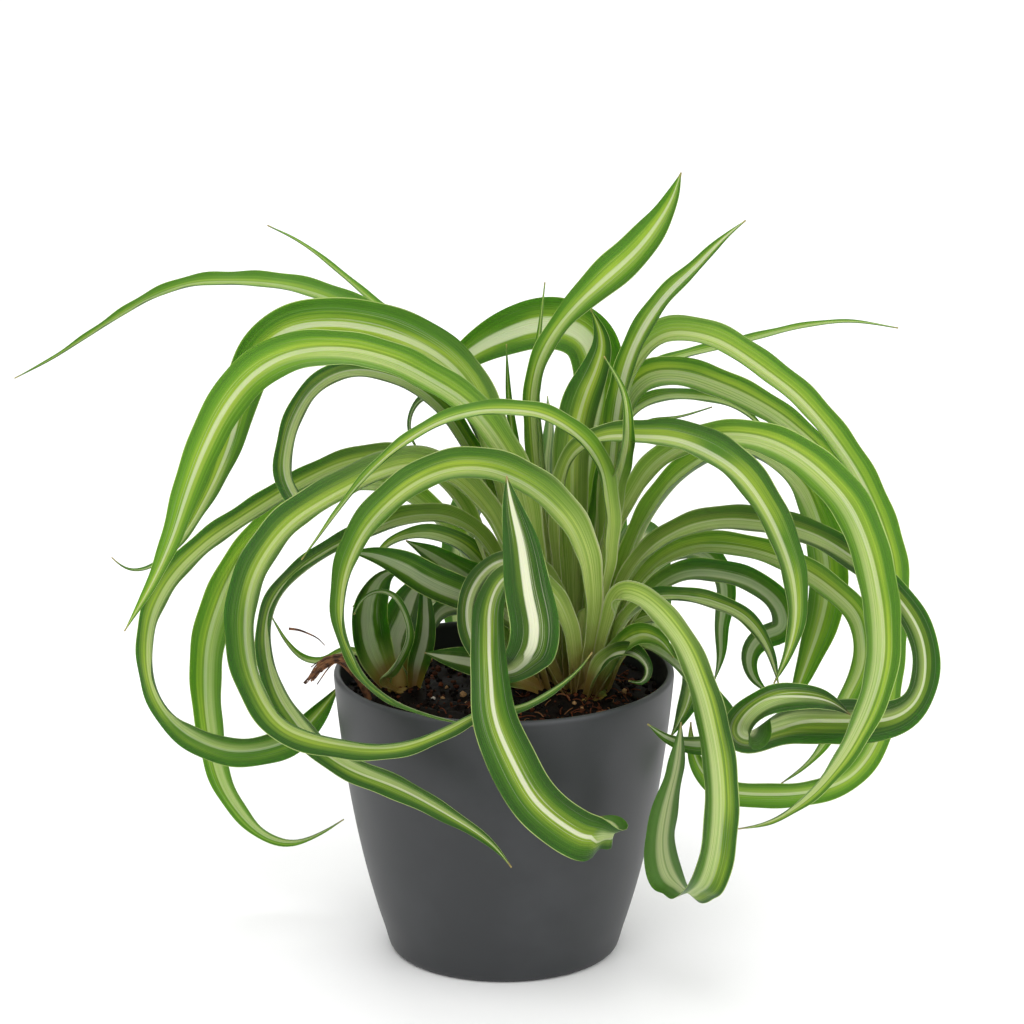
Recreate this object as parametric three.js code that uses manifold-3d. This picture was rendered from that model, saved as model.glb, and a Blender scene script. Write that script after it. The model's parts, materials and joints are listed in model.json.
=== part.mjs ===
// A potted spider plant: a tapered pot, its soil, the crowns of clasping leaf bases, a tuft of
// roots over the rim, and every leaf as a folded, tapering ribbon on a curve of its own.
// Millimetres, +Z up. The origin is the centre of the pot's flat base.

import * as THREE from 'three';
import { mergeVertices } from 'three/addons/utils/BufferGeometryUtils.js';
import Module from 'manifold-3d';

const wasm = await Module();
wasm.setup();

// ---------------------------------------------------------------- driving dimensions

// The gap between pieces that touch.
const CLEARANCE = 0.35;

// The pot: its side starts at the top of a rounded heel, bellies a little and steepens to the rim.
const POT_RIM_RADIUS = 70;
const POT_HEIGHT = 120;
const POT_SIDE_RADIUS = 50;
const POT_HEEL_HEIGHT = 10;
const POT_FOOT_RADIUS = 44;
const POT_HEEL_ROUNDING = { out: 4, up: 3 };
const POT_BELLY_LOW = { out: 8, height: 34 };
const POT_BELLY_HIGH = { in: 4, height: 70 };
const POT_LIP_HEIGHT = 2;
const POT_WALL = 2.8;
const POT_FLOOR = 4;
const POT_FLOOR_RADIUS = 41;
const POT_FLOOR_ROUNDING = 4;
const POT_FACETS = 36;
const POT_HEEL_STEPS = 3;
const POT_SIDE_STEPS = 6;

// The soil: lumps this high about its level, and an edge this much lower than its middle.
const SOIL_LEVEL = 111;
const SOIL_LUMP = 0.95;
const SOIL_DISH = 2.5;
const SOIL_EDGE_DROP = 4;
const SOIL_RINGS = 4;

const ROOTING_DEPTH = 2;
const CROWN_DEPTH = 14;
const CROWN_RISE = 2.5;
const CROWN_FACETS = 10;
const SHEATH_LENGTH = 42;

// A leaf starts this far beyond its sheath.
const SHEATH_GAP = 1.3 * CLEARANCE;

// A blade takes one more cross-section for each such length, bend or twist in degrees.
const BLADE_STEP = 38;
const BLADE_BEND = THREE.MathUtils.degToRad(30);
const BLADE_TWIST = 40;
const BLADE_SAMPLES = 160;
const BLADE_THICKNESS = 0.85;
const TIP_HALF_WIDTH = 0.7;
const TAPER_POWER = 1.9;
const BLADE_SPREAD = [[0, 0.55], [0.35, 1]];
const BLADE_FOLD = [42, 24];

const ROOT_STRANDS = 6;
const ROOT_RADIUS = 1.7;
const ROOT_TIP_RADIUS = 0.6;
const ROOT_SPREAD = 5.5;
const ROOT_SPREAD_AT_START = 0.12;
const ROOT_FACETS = 4;
const ROOT_STEPS = 5;

// The eye that the leaf routes are drawn from: its height and its distance in front of the pot,
// and how far it looks down.
const EYE = new THREE.Vector3(3.3, -1800, 698);
const EYE_PITCH = THREE.MathUtils.degToRad(15.85);

// Which way a leaf arches, as seen from that eye.
const LEFT = 1;
const RIGHT = -1;

const FINISH = {
  pot: { color: 0x4a4c50, roughness: 0.55 },
  soil: { color: 0x2a1d15, roughness: 0.95 },
  root: { color: 0x6b4226, roughness: 0.9 },
  crown: { color: 0xb9c27a, roughness: 0.6 },
  leaf: { color: 0x5f9438, roughness: 0.5 },
  leafDark: { color: 0x3f6b35, roughness: 0.5 },
  leafPale: { color: 0x86ad55, roughness: 0.5 },
};

// ---------------------------------------------------------------- leaf routes

// Each route is a list of [across, up, depth]: where the leaf is seen on the drawing plane, which
// stands square to the line of sight at the foot of the pot, and how far behind (+) or in front (-)
// of the pot's middle it runs. width is the blade laid flat at its widest. face lists
// [share of the length, degrees]: 0 turns the upper face to the eye, 90 to the outside of the arch,
// 180 away from the eye. spread lists [share of the length, share of the width], where a blade
// doesn't widen as most do. fold is the rise of each half blade from the midrib, at base and tip.

const LEFT_LEAVES = [
  {
    name: 'leaf_left_long', arch: LEFT, width: 19, tint: 'leaf', taperFrom: 0.3,
    route: [[17, 108, 9], [8, 165, 24], [-4, 210, 30], [-14, 233, 33], [-27, 247, 35], [-44, 258, 39],
      [-60, 266, 43], [-77, 273, 47], [-94, 277, 50], [-115, 278, 54], [-131, 277, 58],
      [-148, 271, 62], [-169, 258, 67], [-190, 244, 72], [-205, 236, 76]],
    face: [[0, 80], [0.4, 55], [1, 70]],
  },
  {
    name: 'leaf_left_spike', arch: LEFT, width: 11, tint: 'leafDark', taperFrom: 0.3,
    route: [[20, 108, 12], [9, 165, 38], [-5, 215, 54], [-27, 248, 63], [-44, 261, 69],
      [-56, 270, 74], [-69, 281, 81], [-85, 293, 88], [-99, 300, 93]],
    face: [[0, 75], [1, 55]],
  },
  {
    name: 'leaf_left_back_broad', arch: LEFT, width: 22, tint: 'leaf', taperFrom: 0.4,
    route: [[16, 108, 4], [8, 165, 6], [-4, 213, 9], [-14, 235, 14], [-27, 247, 17],
      [-44, 255, 18], [-60, 259, 18], [-77, 260, 17], [-92, 257, 15], [-104, 248, 12],
      [-111, 235, 10], [-115, 222, 7], [-119, 207, 4], [-126, 190, 0], [-131, 177, -4],
      [-139, 164, -8], [-148, 157, -12], [-157, 155, -15], [-164, 161, -17]],
    face: [[0, 70], [0.35, 48], [0.6, 42], [0.85, 70], [1, 80]],
  },
  {
    name: 'leaf_left_front', arch: LEFT, width: 20, tint: 'leafPale', taperFrom: 0.6,
    route: [[18, 108, 0], [14, 160, -6], [7, 195, -9], [-3, 213, -12], [-14, 226, -11],
      [-31, 237, -13], [-48, 245, -16], [-69, 249, -20], [-90, 247, -25], [-106, 238, -30],
      [-118, 223, -34], [-126, 207, -38], [-133, 189, -42], [-139, 170, -46], [-148, 149, -50],
      [-159, 130, -54]],
    face: [[0, 60], [0.3, 48], [0.5, 45], [0.7, 22], [1, 30]],
  },
  {
    name: 'leaf_left_inner_loop', arch: LEFT, width: 15, tint: 'leafDark', taperFrom: 0.6,
    route: [[14, 108, 6], [2, 165, 15], [-11, 203, 13], [-29, 228, 9], [-50, 239, 4], [-67, 240, 0],
      [-81, 232, -4], [-88, 221, -7], [-92, 208, -10], [-93, 195, -12], [-89, 186, -14],
      [-82, 178, -16]],
    face: [[0, 80], [0.6, 105], [1, 120]],
  },
  {
    name: 'leaf_left_low_loop', arch: LEFT, width: 16, tint: 'leaf', taperFrom: 0.5,
    route: [[14, 107, 7], [-2, 150, 11], [-13, 178, 14], [-26, 196, 17], [-44, 205, 20],
      [-64, 203, 23], [-85, 194, 26], [-106, 181, 28], [-125, 168, 30], [-140, 153, 30],
      [-149, 136, 28], [-151, 118, 26], [-148, 103, 25], [-140, 91, 24], [-129, 84, 24],
      [-115, 79, 24], [-100, 80, 25], [-87, 85, 27], [-77, 96, 31], [-69, 107, 36]],
    face: [[0, 75], [0.4, 58], [0.65, 70], [0.78, 120], [1, 130]],
  },
  {
    name: 'leaf_left_hanging', arch: LEFT, width: 19, tint: 'leaf', taperFrom: 0.5,
    route: [[15, 107, 9], [-6, 148, 35], [-25, 178, 43], [-47, 193, 46], [-69, 193, 48],
      [-90, 183, 50], [-105, 167, 51], [-117, 147, 52], [-124, 126, 52], [-125, 105, 52],
      [-123, 87, 51], [-119, 68, 50], [-110, 53, 47], [-99, 43, 44], [-87, 41, 41], [-75, 46, 38],
      [-67, 51, 36]],
    face: [[0, 75], [0.4, 55], [0.6, 15], [0.8, 30], [1, 70]],
  },
  {
    name: 'leaf_left_outer_loop', arch: LEFT, width: 22, tint: 'leaf', taperFrom: 0.35,
    route: [[19, 107, -4], [8, 150, -19], [-5, 182, -24], [-22, 198, -27], [-39, 203, -30],
      [-56, 198, -33], [-73, 189, -38], [-90, 178, -45], [-101, 165, -53], [-108, 151, -60],
      [-111, 135, -67], [-110, 118, -73], [-104, 101, -79], [-94, 88, -85], [-81, 83, -89],
      [-66, 80, -92], [-48, 79, -95], [-33, 83, -96], [-20, 89, -96], [-10, 95, -95],
      [7, 97, -92], [21, 105, -87], [32, 114, -80], [37, 121, -76]],
    face: [[0, 80], [0.3, 58], [0.5, 52], [0.7, 75], [1, 95]],
  },
  {
    name: 'leaf_front_inner_loop', arch: LEFT, width: 22, tint: 'leafPale', taperFrom: 0.4,
    route: [[32, 107, -6], [38, 140, -16], [37, 157, -23], [33, 170, -28], [25, 182, -34],
      [15, 191, -38], [2, 198, -43], [-13, 201, -48], [-30, 198, -53], [-45, 189, -58],
      [-58, 176, -63], [-66, 162, -67], [-70, 147, -70], [-70, 134, -72], [-66, 121, -74],
      [-59, 109, -76], [-47, 100, -78], [-34, 95, -78], [-22, 92, -78], [-13, 90, -78]],
    face: [[0, 70], [0.3, 50], [0.6, 50], [0.8, 75], [1, 90]],
  },
  {
    name: 'leaf_left_crossing', arch: LEFT, width: 16, tint: 'leaf', taperFrom: 0.7,
    route: [[16, 107, -3], [6, 144, -9], [-3, 163, -12], [-13, 175, -15], [-26, 180, -18],
      [-42, 179, -21], [-58, 173, -25], [-73, 166, -29], [-86, 157, -34], [-96, 147, -38],
      [-101, 134, -42], [-101, 121, -46], [-97, 106, -52], [-88, 92, -59], [-77, 80, -65],
      [-64, 72, -71], [-44, 64, -77], [-27, 55, -81], [-12, 46, -84], [-3, 39, -85],
      [3, 31, -85]],
    face: [[0, 75], [0.3, 58], [0.5, 75], [0.72, 50], [0.85, 35], [1, 35]],
  },
  {
    name: 'leaf_over_top', arch: LEFT, width: 13, tint: 'leaf', taperFrom: 0.4,
    route: [[37, 107, 0], [41, 140, -6], [45, 162, -14], [46, 180, -18], [41, 203, -24],
      [30, 215, -28], [17, 222, -33], [3, 224, -37], [-14, 223, -42], [-31, 217, -46],
      [-46, 207, -50], [-57, 197, -53], [-67, 185, -56], [-77, 171, -59], [-85, 160, -61]],
    face: [[0, 90], [0.3, 62], [0.6, 58], [1, 65]],
  },
  {
    name: 'leaf_left_back_curl', arch: LEFT, width: 14, tint: 'leafDark', taperFrom: 0.5,
    route: [[18, 109, 11], [3, 160, 26], [-4, 200, 32], [-14, 222, 35], [-26, 230, 38],
      [-35, 228, 39], [-40, 220, 38], [-39, 210, 36], [-34, 203, 33]],
    face: [[0, 80], [0.6, 55], [1, 80]],
  },
];

const FRONT_LEAVES = [
  {
    name: 'leaf_front_hanging', arch: LEFT, width: 20.5, tint: 'leafPale', taperFrom: 0.72,
    route: [[31, 108, -9], [28, 132, -25], [20, 147, -39], [9, 154, -51], [0, 153, -62],
      [-6, 143, -73], [-7, 127, -85], [-6, 110, -96], [-4, 93, -103], [3, 76, -106],
      [12, 60, -103], [24, 49, -96], [36, 43, -89], [44, 42, -85], [48, 46, -82], [44, 50, -80]],
    face: [[0, 50], [0.35, 30], [0.6, 5], [1, 15]], fold: [35, 16], sheath: 30,
  },
  {
    name: 'leaf_front_curled_up', arch: LEFT, width: 20, tint: 'leafDark', taperFrom: 0.74,
    route: [[30, 107, -8], [28, 128, -12], [24, 146, -20], [17, 156, -29], [8, 160, -37],
      [-3, 160, -43], [-11, 153, -46], [-16, 141, -53], [-15, 129, -58], [-10, 119, -63],
      [-3, 113, -68], [4, 113, -78], [11, 120, -89], [13, 132, -95], [10, 147, -94],
      [7, 167, -89], [3, 183, -86], [1, 195, -84]],
    face: [[0, 80], [0.35, 75], [0.55, 85], [0.7, 150], [0.77, 178], [1, 180]], fold: [35, 12],
    spread: [[0, 0.4], [0.55, 0.45], [0.74, 1]], sheath: 26,
  },
  {
    name: 'leaf_front_dark_blade', arch: LEFT, width: 13, tint: 'leafDark', taperFrom: 0.55,
    route: [[24, 108, -7], [12, 130, -13], [-2, 141, -17], [-14, 145, -19], [-28, 150, -21],
      [-41, 157, -23], [-54, 162, -26], [-64, 163, -29]],
    face: [[0, 70], [0.5, 40], [1, 30]], sheath: 28,
  },
  {
    name: 'leaf_inner_blade_upper', arch: LEFT, width: 11, tint: 'leafDark', taperFrom: 0.5,
    route: [[15, 107, 2], [6, 135, 2], [-5, 148, 2], [-18, 155, 2], [-30, 162, 2], [-41, 168, 2]],
    face: [[0, 60], [1, 35]], sheath: 28,
  },
  {
    name: 'leaf_inner_blade_back', arch: LEFT, width: 13, tint: 'leaf', taperFrom: 0.5,
    route: [[15, 107, 8], [4, 138, 21], [-6, 157, 24], [-18, 168, 24], [-32, 172, 26],
      [-46, 169, 27], [-56, 160, 27]],
    face: [[0, 70], [1, 60]], sheath: 32,
  },
  {
    name: 'leaf_soil_low', arch: LEFT, width: 14, tint: 'leafDark', taperFrom: 0.5,
    route: [[14, 107, -9], [2, 113, -18], [-12, 117, -26], [-24, 119, -33], [-33, 121, -39]],
    face: [[0, 40], [1, 25]], fold: [25, 12], sheath: 14,
  },
  {
    name: 'leaf_shaded_arc', arch: LEFT, width: 8, tint: 'leafDark', taperFrom: 0.45,
    route: [[12, 107, -4], [0, 128, -6], [-9, 139, -6], [-19, 142, -4], [-28, 138, -2],
      [-31, 129, 0]],
    face: [[0, 80], [1, 60]], sheath: 22,
  },
];

const OFFSET_LEAVES = [
  {
    name: 'leaf_offset_upright', arch: LEFT, width: 10, tint: 'leafDark', taperFrom: 0.3,
    route: [[-38, 104, 0], [-36, 116, -5], [-33, 128, -9], [-33, 143, -12], [-34, 157, -14]],
    face: [[0, 10], [1, 0]], fold: [30, 20], sheath: 12,
  },
  {
    name: 'leaf_offset_curl', arch: LEFT, width: 6, tint: 'leafDark', taperFrom: 0.4,
    route: [[-44, 105, -4], [-50, 109, -14], [-47, 112, -26], [-42, 119, -33], [-39, 128, -37],
      [-41, 138, -39], [-47, 146, -40], [-54, 147, -40], [-60, 143, -40], [-63, 137, -40]],
    face: [[0, 70], [0.5, 80], [1, 80]], sheath: 10,
  },
  {
    name: 'leaf_offset_folded', arch: LEFT, width: 15, tint: 'leafDark', taperFrom: 0.55,
    route: [[-46, 106, 5], [-53, 120, 0], [-56, 132, -4], [-55, 144, -8], [-50, 153, -12],
      [-43, 156, -15]],
    face: [[0, 30], [1, 60]], fold: [40, 25], sheath: 12,
  },
  {
    name: 'leaf_offset_broad', arch: LEFT, width: 15, tint: 'leafDark', taperFrom: 0.5,
    route: [[-43, 106, 12], [-47, 124, 14], [-43, 136, 15], [-38, 147, 14], [-31, 154, 12]],
    face: [[0, -20], [1, -30]], fold: [30, 20], sheath: 12,
  },
  {
    name: 'leaf_offset_over_rim', arch: LEFT, width: 6, tint: 'leafPale', taperFrom: 0.4,
    route: [[-49, 107, 8], [-58, 120, 10], [-68, 122, 14], [-76, 118, 15], [-84, 119, 15],
      [-91, 126, 15], [-97, 136, 15]],
    face: [[0, 60], [1, 60]], sheath: 10,
  },
];

const RIGHT_LEAVES = [
  {
    name: 'leaf_right_front_loop', arch: RIGHT, width: 19, tint: 'leafPale', taperFrom: 0.55,
    route: [[37, 108, -7], [42, 133, -18], [48, 147, -29], [58, 145, -39], [67, 137, -50],
      [76, 125, -59], [83, 108, -69], [88, 89, -77], [90, 68, -83], [90, 49, -86], [87, 33, -87],
      [83, 23, -86], [77, 19, -83], [71, 22, -79], [67, 31, -75], [66, 43, -72], [69, 59, -70],
      [72, 74, -70], [74, 92, -71]],
    face: [[0, 70], [0.3, 42], [0.6, 28], [0.75, 60], [1, 75]], fold: [35, 20], sheath: 30,
  },
  {
    name: 'leaf_right_spiral', arch: RIGHT, width: 22, tint: 'leafDark', taperFrom: 0.62,
    route: [[39, 108, -1], [47, 146, 0], [58, 164, -5], [73, 174, -11], [90, 178, -16],
      [107, 177, -20], [122, 174, -23], [136, 168, -26], [149, 159, -29], [160, 150, -31],
      [168, 141, -33], [175, 129, -34], [177, 116, -35], [175, 104, -36], [169, 96, -37],
      [159, 92, -38], [147, 92, -40], [135, 92, -42], [123, 92, -45], [112, 88, -50],
      [103, 84, -57], [98, 88, -65], [102, 96, -71], [112, 102, -74], [124, 103, -72],
      [136, 101, -63], [145, 95, -52]],
    face: [[0, 80], [0.3, 55], [0.5, 28], [0.62, 35], [0.72, 60], [0.8, 100], [0.88, 150],
      [1, 160]], fold: [40, 18],
  },
  {
    name: 'leaf_right_spiral_inner', arch: RIGHT, width: 18, tint: 'leaf', taperFrom: 0.5,
    route: [[41, 109, 3], [50, 143, 3], [62, 159, 3], [78, 167, 2], [95, 167, 1], [112, 163, 0],
      [128, 155, -1], [140, 146, -2], [149, 136, -2], [151, 124, -2], [150, 114, -1],
      [145, 104, 0], [139, 92, 1], [134, 82, 1], [127, 74, 0], [116, 66, -2]],
    face: [[0, 75], [0.4, 55], [0.65, 50], [0.8, 130], [1, 120]],
  },
  {
    name: 'leaf_right_front_arch', arch: RIGHT, width: 20, tint: 'leaf', taperFrom: 0.6,
    route: [[25, 109, -2], [23, 150, -1], [21, 184, -1], [27, 205, -5], [40, 213, -11],
      [56, 214, -19], [72, 213, -26], [86, 208, -34], [99, 199, -42], [109, 186, -48],
      [117, 170, -53], [122, 153, -56], [123, 138, -58], [121, 126, -58], [117, 116, -57],
      [113, 108, -56]],
    face: [[0, 80], [0.4, 58], [0.7, 52], [1, 40]],
    spread: [[0, 0.5], [0.35, 0.55], [0.6, 1]],
  },
  {
    name: 'leaf_right_great_arch', arch: RIGHT, width: 22, tint: 'leafPale', taperFrom: 0.65,
    route: [[36, 109, 3], [40, 150, 9], [44, 170, 9], [52, 187, 6], [62, 201, 0], [75, 209, -6],
      [90, 213, -13], [106, 212, -19], [121, 206, -26], [134, 196, -34], [146, 182, -41],
      [153, 165, -47], [157, 148, -51], [159, 130, -54], [158, 113, -57], [153, 97, -60],
      [145, 81, -63], [135, 67, -66], [123, 56, -69], [110, 49, -71], [98, 47, -72]],
    face: [[0, 75], [0.35, 45], [0.55, 36], [0.75, 45], [1, 70]],
    spread: [[0, 0.5], [0.3, 0.7], [0.55, 1]],
  },
  {
    name: 'leaf_right_inner_arch', arch: RIGHT, width: 20, tint: 'leaf', taperFrom: 0.7,
    route: [[39, 110, 7], [46, 146, 19], [52, 166, 24], [61, 184, 26], [73, 198, 26], [86, 206, 25],
      [99, 209, 23], [113, 204, 21], [124, 194, 19], [131, 180, 18], [135, 164, 17],
      [136, 148, 16], [133, 133, 15], [128, 119, 13], [123, 106, 11], [119, 96, 9]],
    face: [[0, 75], [0.5, 65], [0.75, 30], [1, 25]],
  },
  {
    name: 'leaf_right_outer_arch', arch: RIGHT, width: 20, tint: 'leaf', taperFrom: 0.5,
    route: [[36, 111, 9], [40, 165, 31], [44, 210, 30], [49, 236, 26], [57, 250, 22],
      [67, 257, 19], [79, 257, 17], [92, 253, 15], [107, 243, 13], [124, 230, 11],
      [139, 213, 9], [151, 195, 8], [159, 177, 7], [164, 160, 7], [165, 142, 7], [164, 122, 7],
      [162, 101, 6], [156, 82, 4], [145, 68, 1], [128, 62, -3], [108, 61, -7], [91, 63, -10],
      [82, 71, -11], [78, 82, -10], [78, 92, -8]],
    face: [[0, 80], [0.35, 55], [0.6, 58], [0.85, 100], [1, 110]],
  },
  {
    name: 'leaf_right_back_arch', arch: RIGHT, width: 20, tint: 'leafPale', taperFrom: 0.55,
    route: [[34, 112, 13], [41, 165, 41], [45, 205, 41], [50, 228, 38], [60, 238, 38],
      [74, 239, 38], [90, 234, 38], [107, 226, 38], [123, 215, 38], [137, 201, 39],
      [147, 184, 40], [152, 167, 41], [153, 153, 41], [150, 142, 41]],
    face: [[0, 75], [0.5, 48], [1, 55]],
  },
  {
    name: 'leaf_right_back_short', arch: RIGHT, width: 12, tint: 'leaf', taperFrom: 0.5,
    route: [[32, 112, 15], [35, 160, 50], [42, 202, 55], [52, 222, 56], [65, 229, 56],
      [80, 229, 58], [94, 226, 60], [105, 219, 61], [113, 209, 62]],
    face: [[0, 75], [1, 50]],
  },
  {
    name: 'leaf_right_thin', arch: RIGHT, width: 11, tint: 'leafDark', taperFrom: 0.3,
    route: [[31, 113, 17], [42, 160, 66], [49, 212, 85], [56, 237, 91], [67, 244, 93],
      [82, 248, 96], [99, 252, 98], [124, 258, 101], [145, 260, 104], [165, 257, 106]],
    face: [[0, 75], [1, 55]],
  },
  {
    name: 'leaf_right_sliver', arch: RIGHT, width: 6, tint: 'leafPale', taperFrom: 0.4,
    route: [[37, 111, 12], [46, 160, 47], [50, 203, 46], [58, 217, 46], [74, 220, 46],
      [87, 224, 47]],
    face: [[0, 75], [1, 60]],
  },
  {
    name: 'leaf_right_low_arch', arch: RIGHT, width: 12, tint: 'leafDark', taperFrom: 0.5,
    route: [[40, 107, -3], [49, 135, -7], [61, 145, -9], [75, 146, -12], [88, 143, -15],
      [99, 138, -17], [107, 130, -19], [112, 120, -20], [115, 108, -20]],
    face: [[0, 75], [1, 50]], sheath: 30,
  },
  {
    name: 'leaf_right_small', arch: RIGHT, width: 9, tint: 'leafPale', taperFrom: 0.45,
    route: [[37, 104, -11], [45, 120, -22], [52, 127, -30], [59, 129, -36], [66, 126, -40],
      [71, 119, -43]],
    face: [[0, 70], [1, 40]], sheath: 18,
  },
  {
    name: 'leaf_right_soil_curl', arch: RIGHT, width: 8, tint: 'leafDark', taperFrom: 0.5,
    route: [[34, 103, -13], [36, 113, -22], [41, 119, -31], [47, 118, -37], [49, 112, -39],
      [46, 107, -38]],
    face: [[0, 70], [1, 80]], sheath: 10,
  },
  {
    name: 'leaf_right_hidden_tail', arch: RIGHT, width: 7, tint: 'leafDark', taperFrom: 0.5,
    route: [[43, 107, -5], [49, 121, -11], [58, 126, -19], [68, 122, -28], [78, 113, -38],
      [88, 102, -46], [94, 92, -51], [91, 84, -54], [82, 82, -57], [70, 84, -59], [60, 91, -60]],
    face: [[0, 70], [0.6, 60], [1, 90]], sheath: 16,
  },
  {
    name: 'leaf_right_back_hanging', arch: RIGHT, width: 14, tint: 'leafDark', taperFrom: 0.55,
    route: [[39, 109, 10], [50, 142, 32], [62, 159, 39], [75, 165, 43], [86, 162, 45],
      [92, 153, 46], [93, 143, 47], [91, 131, 47], [91, 120, 46], [88, 109, 45]],
    face: [[0, 75], [0.6, 45], [1, 30]], sheath: 34,
  },
  {
    name: 'leaf_right_back_curl', arch: RIGHT, width: 11, tint: 'leafDark', taperFrom: 0.5,
    route: [[41, 109, 7], [57, 144, 17], [73, 155, 22], [92, 155, 27], [108, 149, 30],
      [117, 139, 31], [117, 130, 31], [109, 128, 30], [103, 121, 29], [104, 111, 28],
      [111, 104, 27]],
    face: [[0, 75], [0.6, 60], [1, 90]], sheath: 34,
  },
  {
    name: 'leaf_right_over_rim', arch: RIGHT, width: 9, tint: 'leaf', taperFrom: 0.5,
    route: [[42, 108, 8], [52, 133, 14], [64, 137, 19], [74, 129, 23], [79, 116, 25],
      [78, 103, 25], [74, 93, 24], [70, 86, 22]],
    face: [[0, 70], [1, 50]], sheath: 24,
  },
];

const UPRIGHT_LEAVES = [
  {
    name: 'leaf_top_tall', arch: RIGHT, width: 19, tint: 'leafPale', taperFrom: 0.55,
    route: [[24, 109, 5], [18, 155, 16], [12, 203, 22], [11, 227, 22], [14, 243, 21],
      [21, 256, 21], [31, 268, 22], [43, 279, 23], [55, 290, 25], [64, 301, 27], [70, 311, 28],
      [74, 322, 30]],
    face: [[0, 60], [0.4, 65], [0.7, 30], [1, 50]],
  },
  {
    name: 'leaf_top_right', arch: RIGHT, width: 14, tint: 'leafPale', taperFrom: 0.35,
    route: [[37, 111, 7], [41, 165, 21], [44, 205, 18], [47, 228, 12], [52, 246, 6], [59, 260, 4],
      [68, 272, 3], [80, 283, 3], [91, 294, 3], [101, 302, 3]],
    face: [[0, 70], [1, 55]],
  },
  {
    name: 'leaf_top_folded', arch: RIGHT, width: 18, tint: 'leafPale', taperFrom: 0.6,
    route: [[29, 111, 8], [28, 160, 24], [27, 208, 24], [31, 231, 27], [36, 248, 30],
      [40, 257, 34], [45, 257, 39], [49, 250, 44], [50, 240, 47]],
    face: [[0, 30], [0.7, 30], [0.85, 80], [1, 150]],
  },
  {
    name: 'leaf_top_back_arch', arch: LEFT, width: 22, tint: 'leaf', taperFrom: 0.55,
    route: [[28, 112, 14], [29, 162, 61], [37, 212, 74], [40, 237, 79], [36, 252, 81],
      [27, 258, 82], [14, 259, 83], [1, 255, 85], [-11, 249, 86], [-22, 240, 87], [-30, 229, 88]],
    face: [[0, 60], [0.5, 45], [1, 45]],
  },
  {
    name: 'leaf_young_left', arch: RIGHT, width: 5, tint: 'leafPale', taperFrom: 0.2,
    route: [[25, 112, 9], [20, 160, 22], [14, 213, 33], [13, 240, 36], [15, 258, 38],
      [17, 276, 40]],
    face: [[0, 20], [1, 10]],
  },
  {
    name: 'leaf_young_centre', arch: LEFT, width: 5, tint: 'leafDark', taperFrom: 0.2,
    route: [[21, 111, 10], [14, 162, 27], [5, 205, 33], [2, 228, 34], [1, 250, 34]],
    face: [[0, 20], [1, 10]],
  },
  {
    name: 'leaf_young_right', arch: LEFT, width: 8, tint: 'leaf', taperFrom: 0.45,
    route: [[37, 109, 1], [41, 150, 0], [46, 178, -4], [48, 191, -8], [51, 203, -22],
      [52, 219, -40], [50, 231, -42], [42, 245, -45]],
    face: [[0, 60], [1, 40]],
  },
];

const BACK_LEAVES = [
  {
    name: 'leaf_back_long', arch: RIGHT, width: 19, tint: 'leaf', taperFrom: 0.45,
    route: [[30, 112, 15], [29, 150, 62], [31, 180, 94], [38, 192, 116], [42, 188, 136],
      [45, 172, 150], [45, 148, 158], [41, 120, 158], [35, 94, 150], [30, 74, 140]],
    face: [[0, 170], [0.5, 150], [1, 180]],
  },
  {
    name: 'leaf_back_left', arch: LEFT, width: 18, tint: 'leafDark', taperFrom: 0.5,
    route: [[20, 111, 15], [13, 148, 46], [3, 178, 66], [-7, 189, 86], [-15, 183, 104],
      [-20, 164, 118], [-20, 134, 124], [-14, 108, 122], [-3, 94, 118]],
    face: [[0, 120], [0.5, 150], [1, 170]],
  },
  {
    name: 'leaf_back_right', arch: RIGHT, width: 18, tint: 'leafPale', taperFrom: 0.5,
    route: [[37, 110, 11], [45, 146, 46], [53, 166, 66], [59, 170, 84], [63, 158, 99],
      [63, 134, 108], [58, 108, 110], [50, 88, 106], [44, 76, 98]],
    face: [[0, 120], [0.5, 150], [1, 170]],
  },
  {
    name: 'leaf_back_low_left', arch: LEFT, width: 16, tint: 'leaf', taperFrom: 0.5,
    route: [[18, 109, 13], [2, 134, 38], [-14, 147, 56], [-31, 145, 71], [-45, 130, 82],
      [-52, 108, 88], [-52, 84, 88], [-44, 66, 84], [-34, 60, 80]],
    face: [[0, 100], [0.5, 130], [1, 150]], sheath: 30,
  },
  {
    name: 'leaf_back_loop', arch: RIGHT, width: 16, tint: 'leafPale', taperFrom: 0.55,
    route: [[32, 110, 14], [31, 134, 48], [26, 149, 72], [19, 148, 93], [13, 130, 106],
      [9, 106, 109], [9, 82, 103], [14, 66, 92], [22, 62, 80]],
    face: [[0, 170], [1, 190]], sheath: 30,
  },
  {
    name: 'leaf_back_young', arch: RIGHT, width: 10, tint: 'leafDark', taperFrom: 0.4,
    route: [[26, 112, 16], [22, 156, 38], [17, 194, 62], [19, 217, 84], [18, 228, 106]],
    face: [[0, 150], [1, 150]], sheath: 36,
  },
];

// ---------------------------------------------------------------- meshes and solids

const MERGE_DISTANCE = 1e-4;

function toSolid(geometry) {
  const bare = geometry.clone();
  for (const name of ['normal', 'uv']) bare.deleteAttribute(name);
  const merged = mergeVertices(bare, MERGE_DISTANCE);
  return new wasm.Manifold(new wasm.Mesh({
    numProp: 3,
    vertProperties: new Float32Array(merged.attributes.position.array),
    triVerts: new Uint32Array(merged.index.array),
  }));
}

function toGeometry(solid) {
  const mesh = solid.getMesh();
  const geometry = new THREE.BufferGeometry();
  geometry.setAttribute('position', new THREE.BufferAttribute(mesh.vertProperties, 3));
  geometry.setIndex(new THREE.BufferAttribute(mesh.triVerts, 1));
  geometry.computeVertexNormals();
  return geometry;
}

// The main body of a solid, without loose scraps and with any sealed hollow filled.
function largestPiece(solid) {
  const pieces = solid.decompose();
  pieces.sort((a, b) => b.volume() - a.volume());
  return pieces[0];
}

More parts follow.
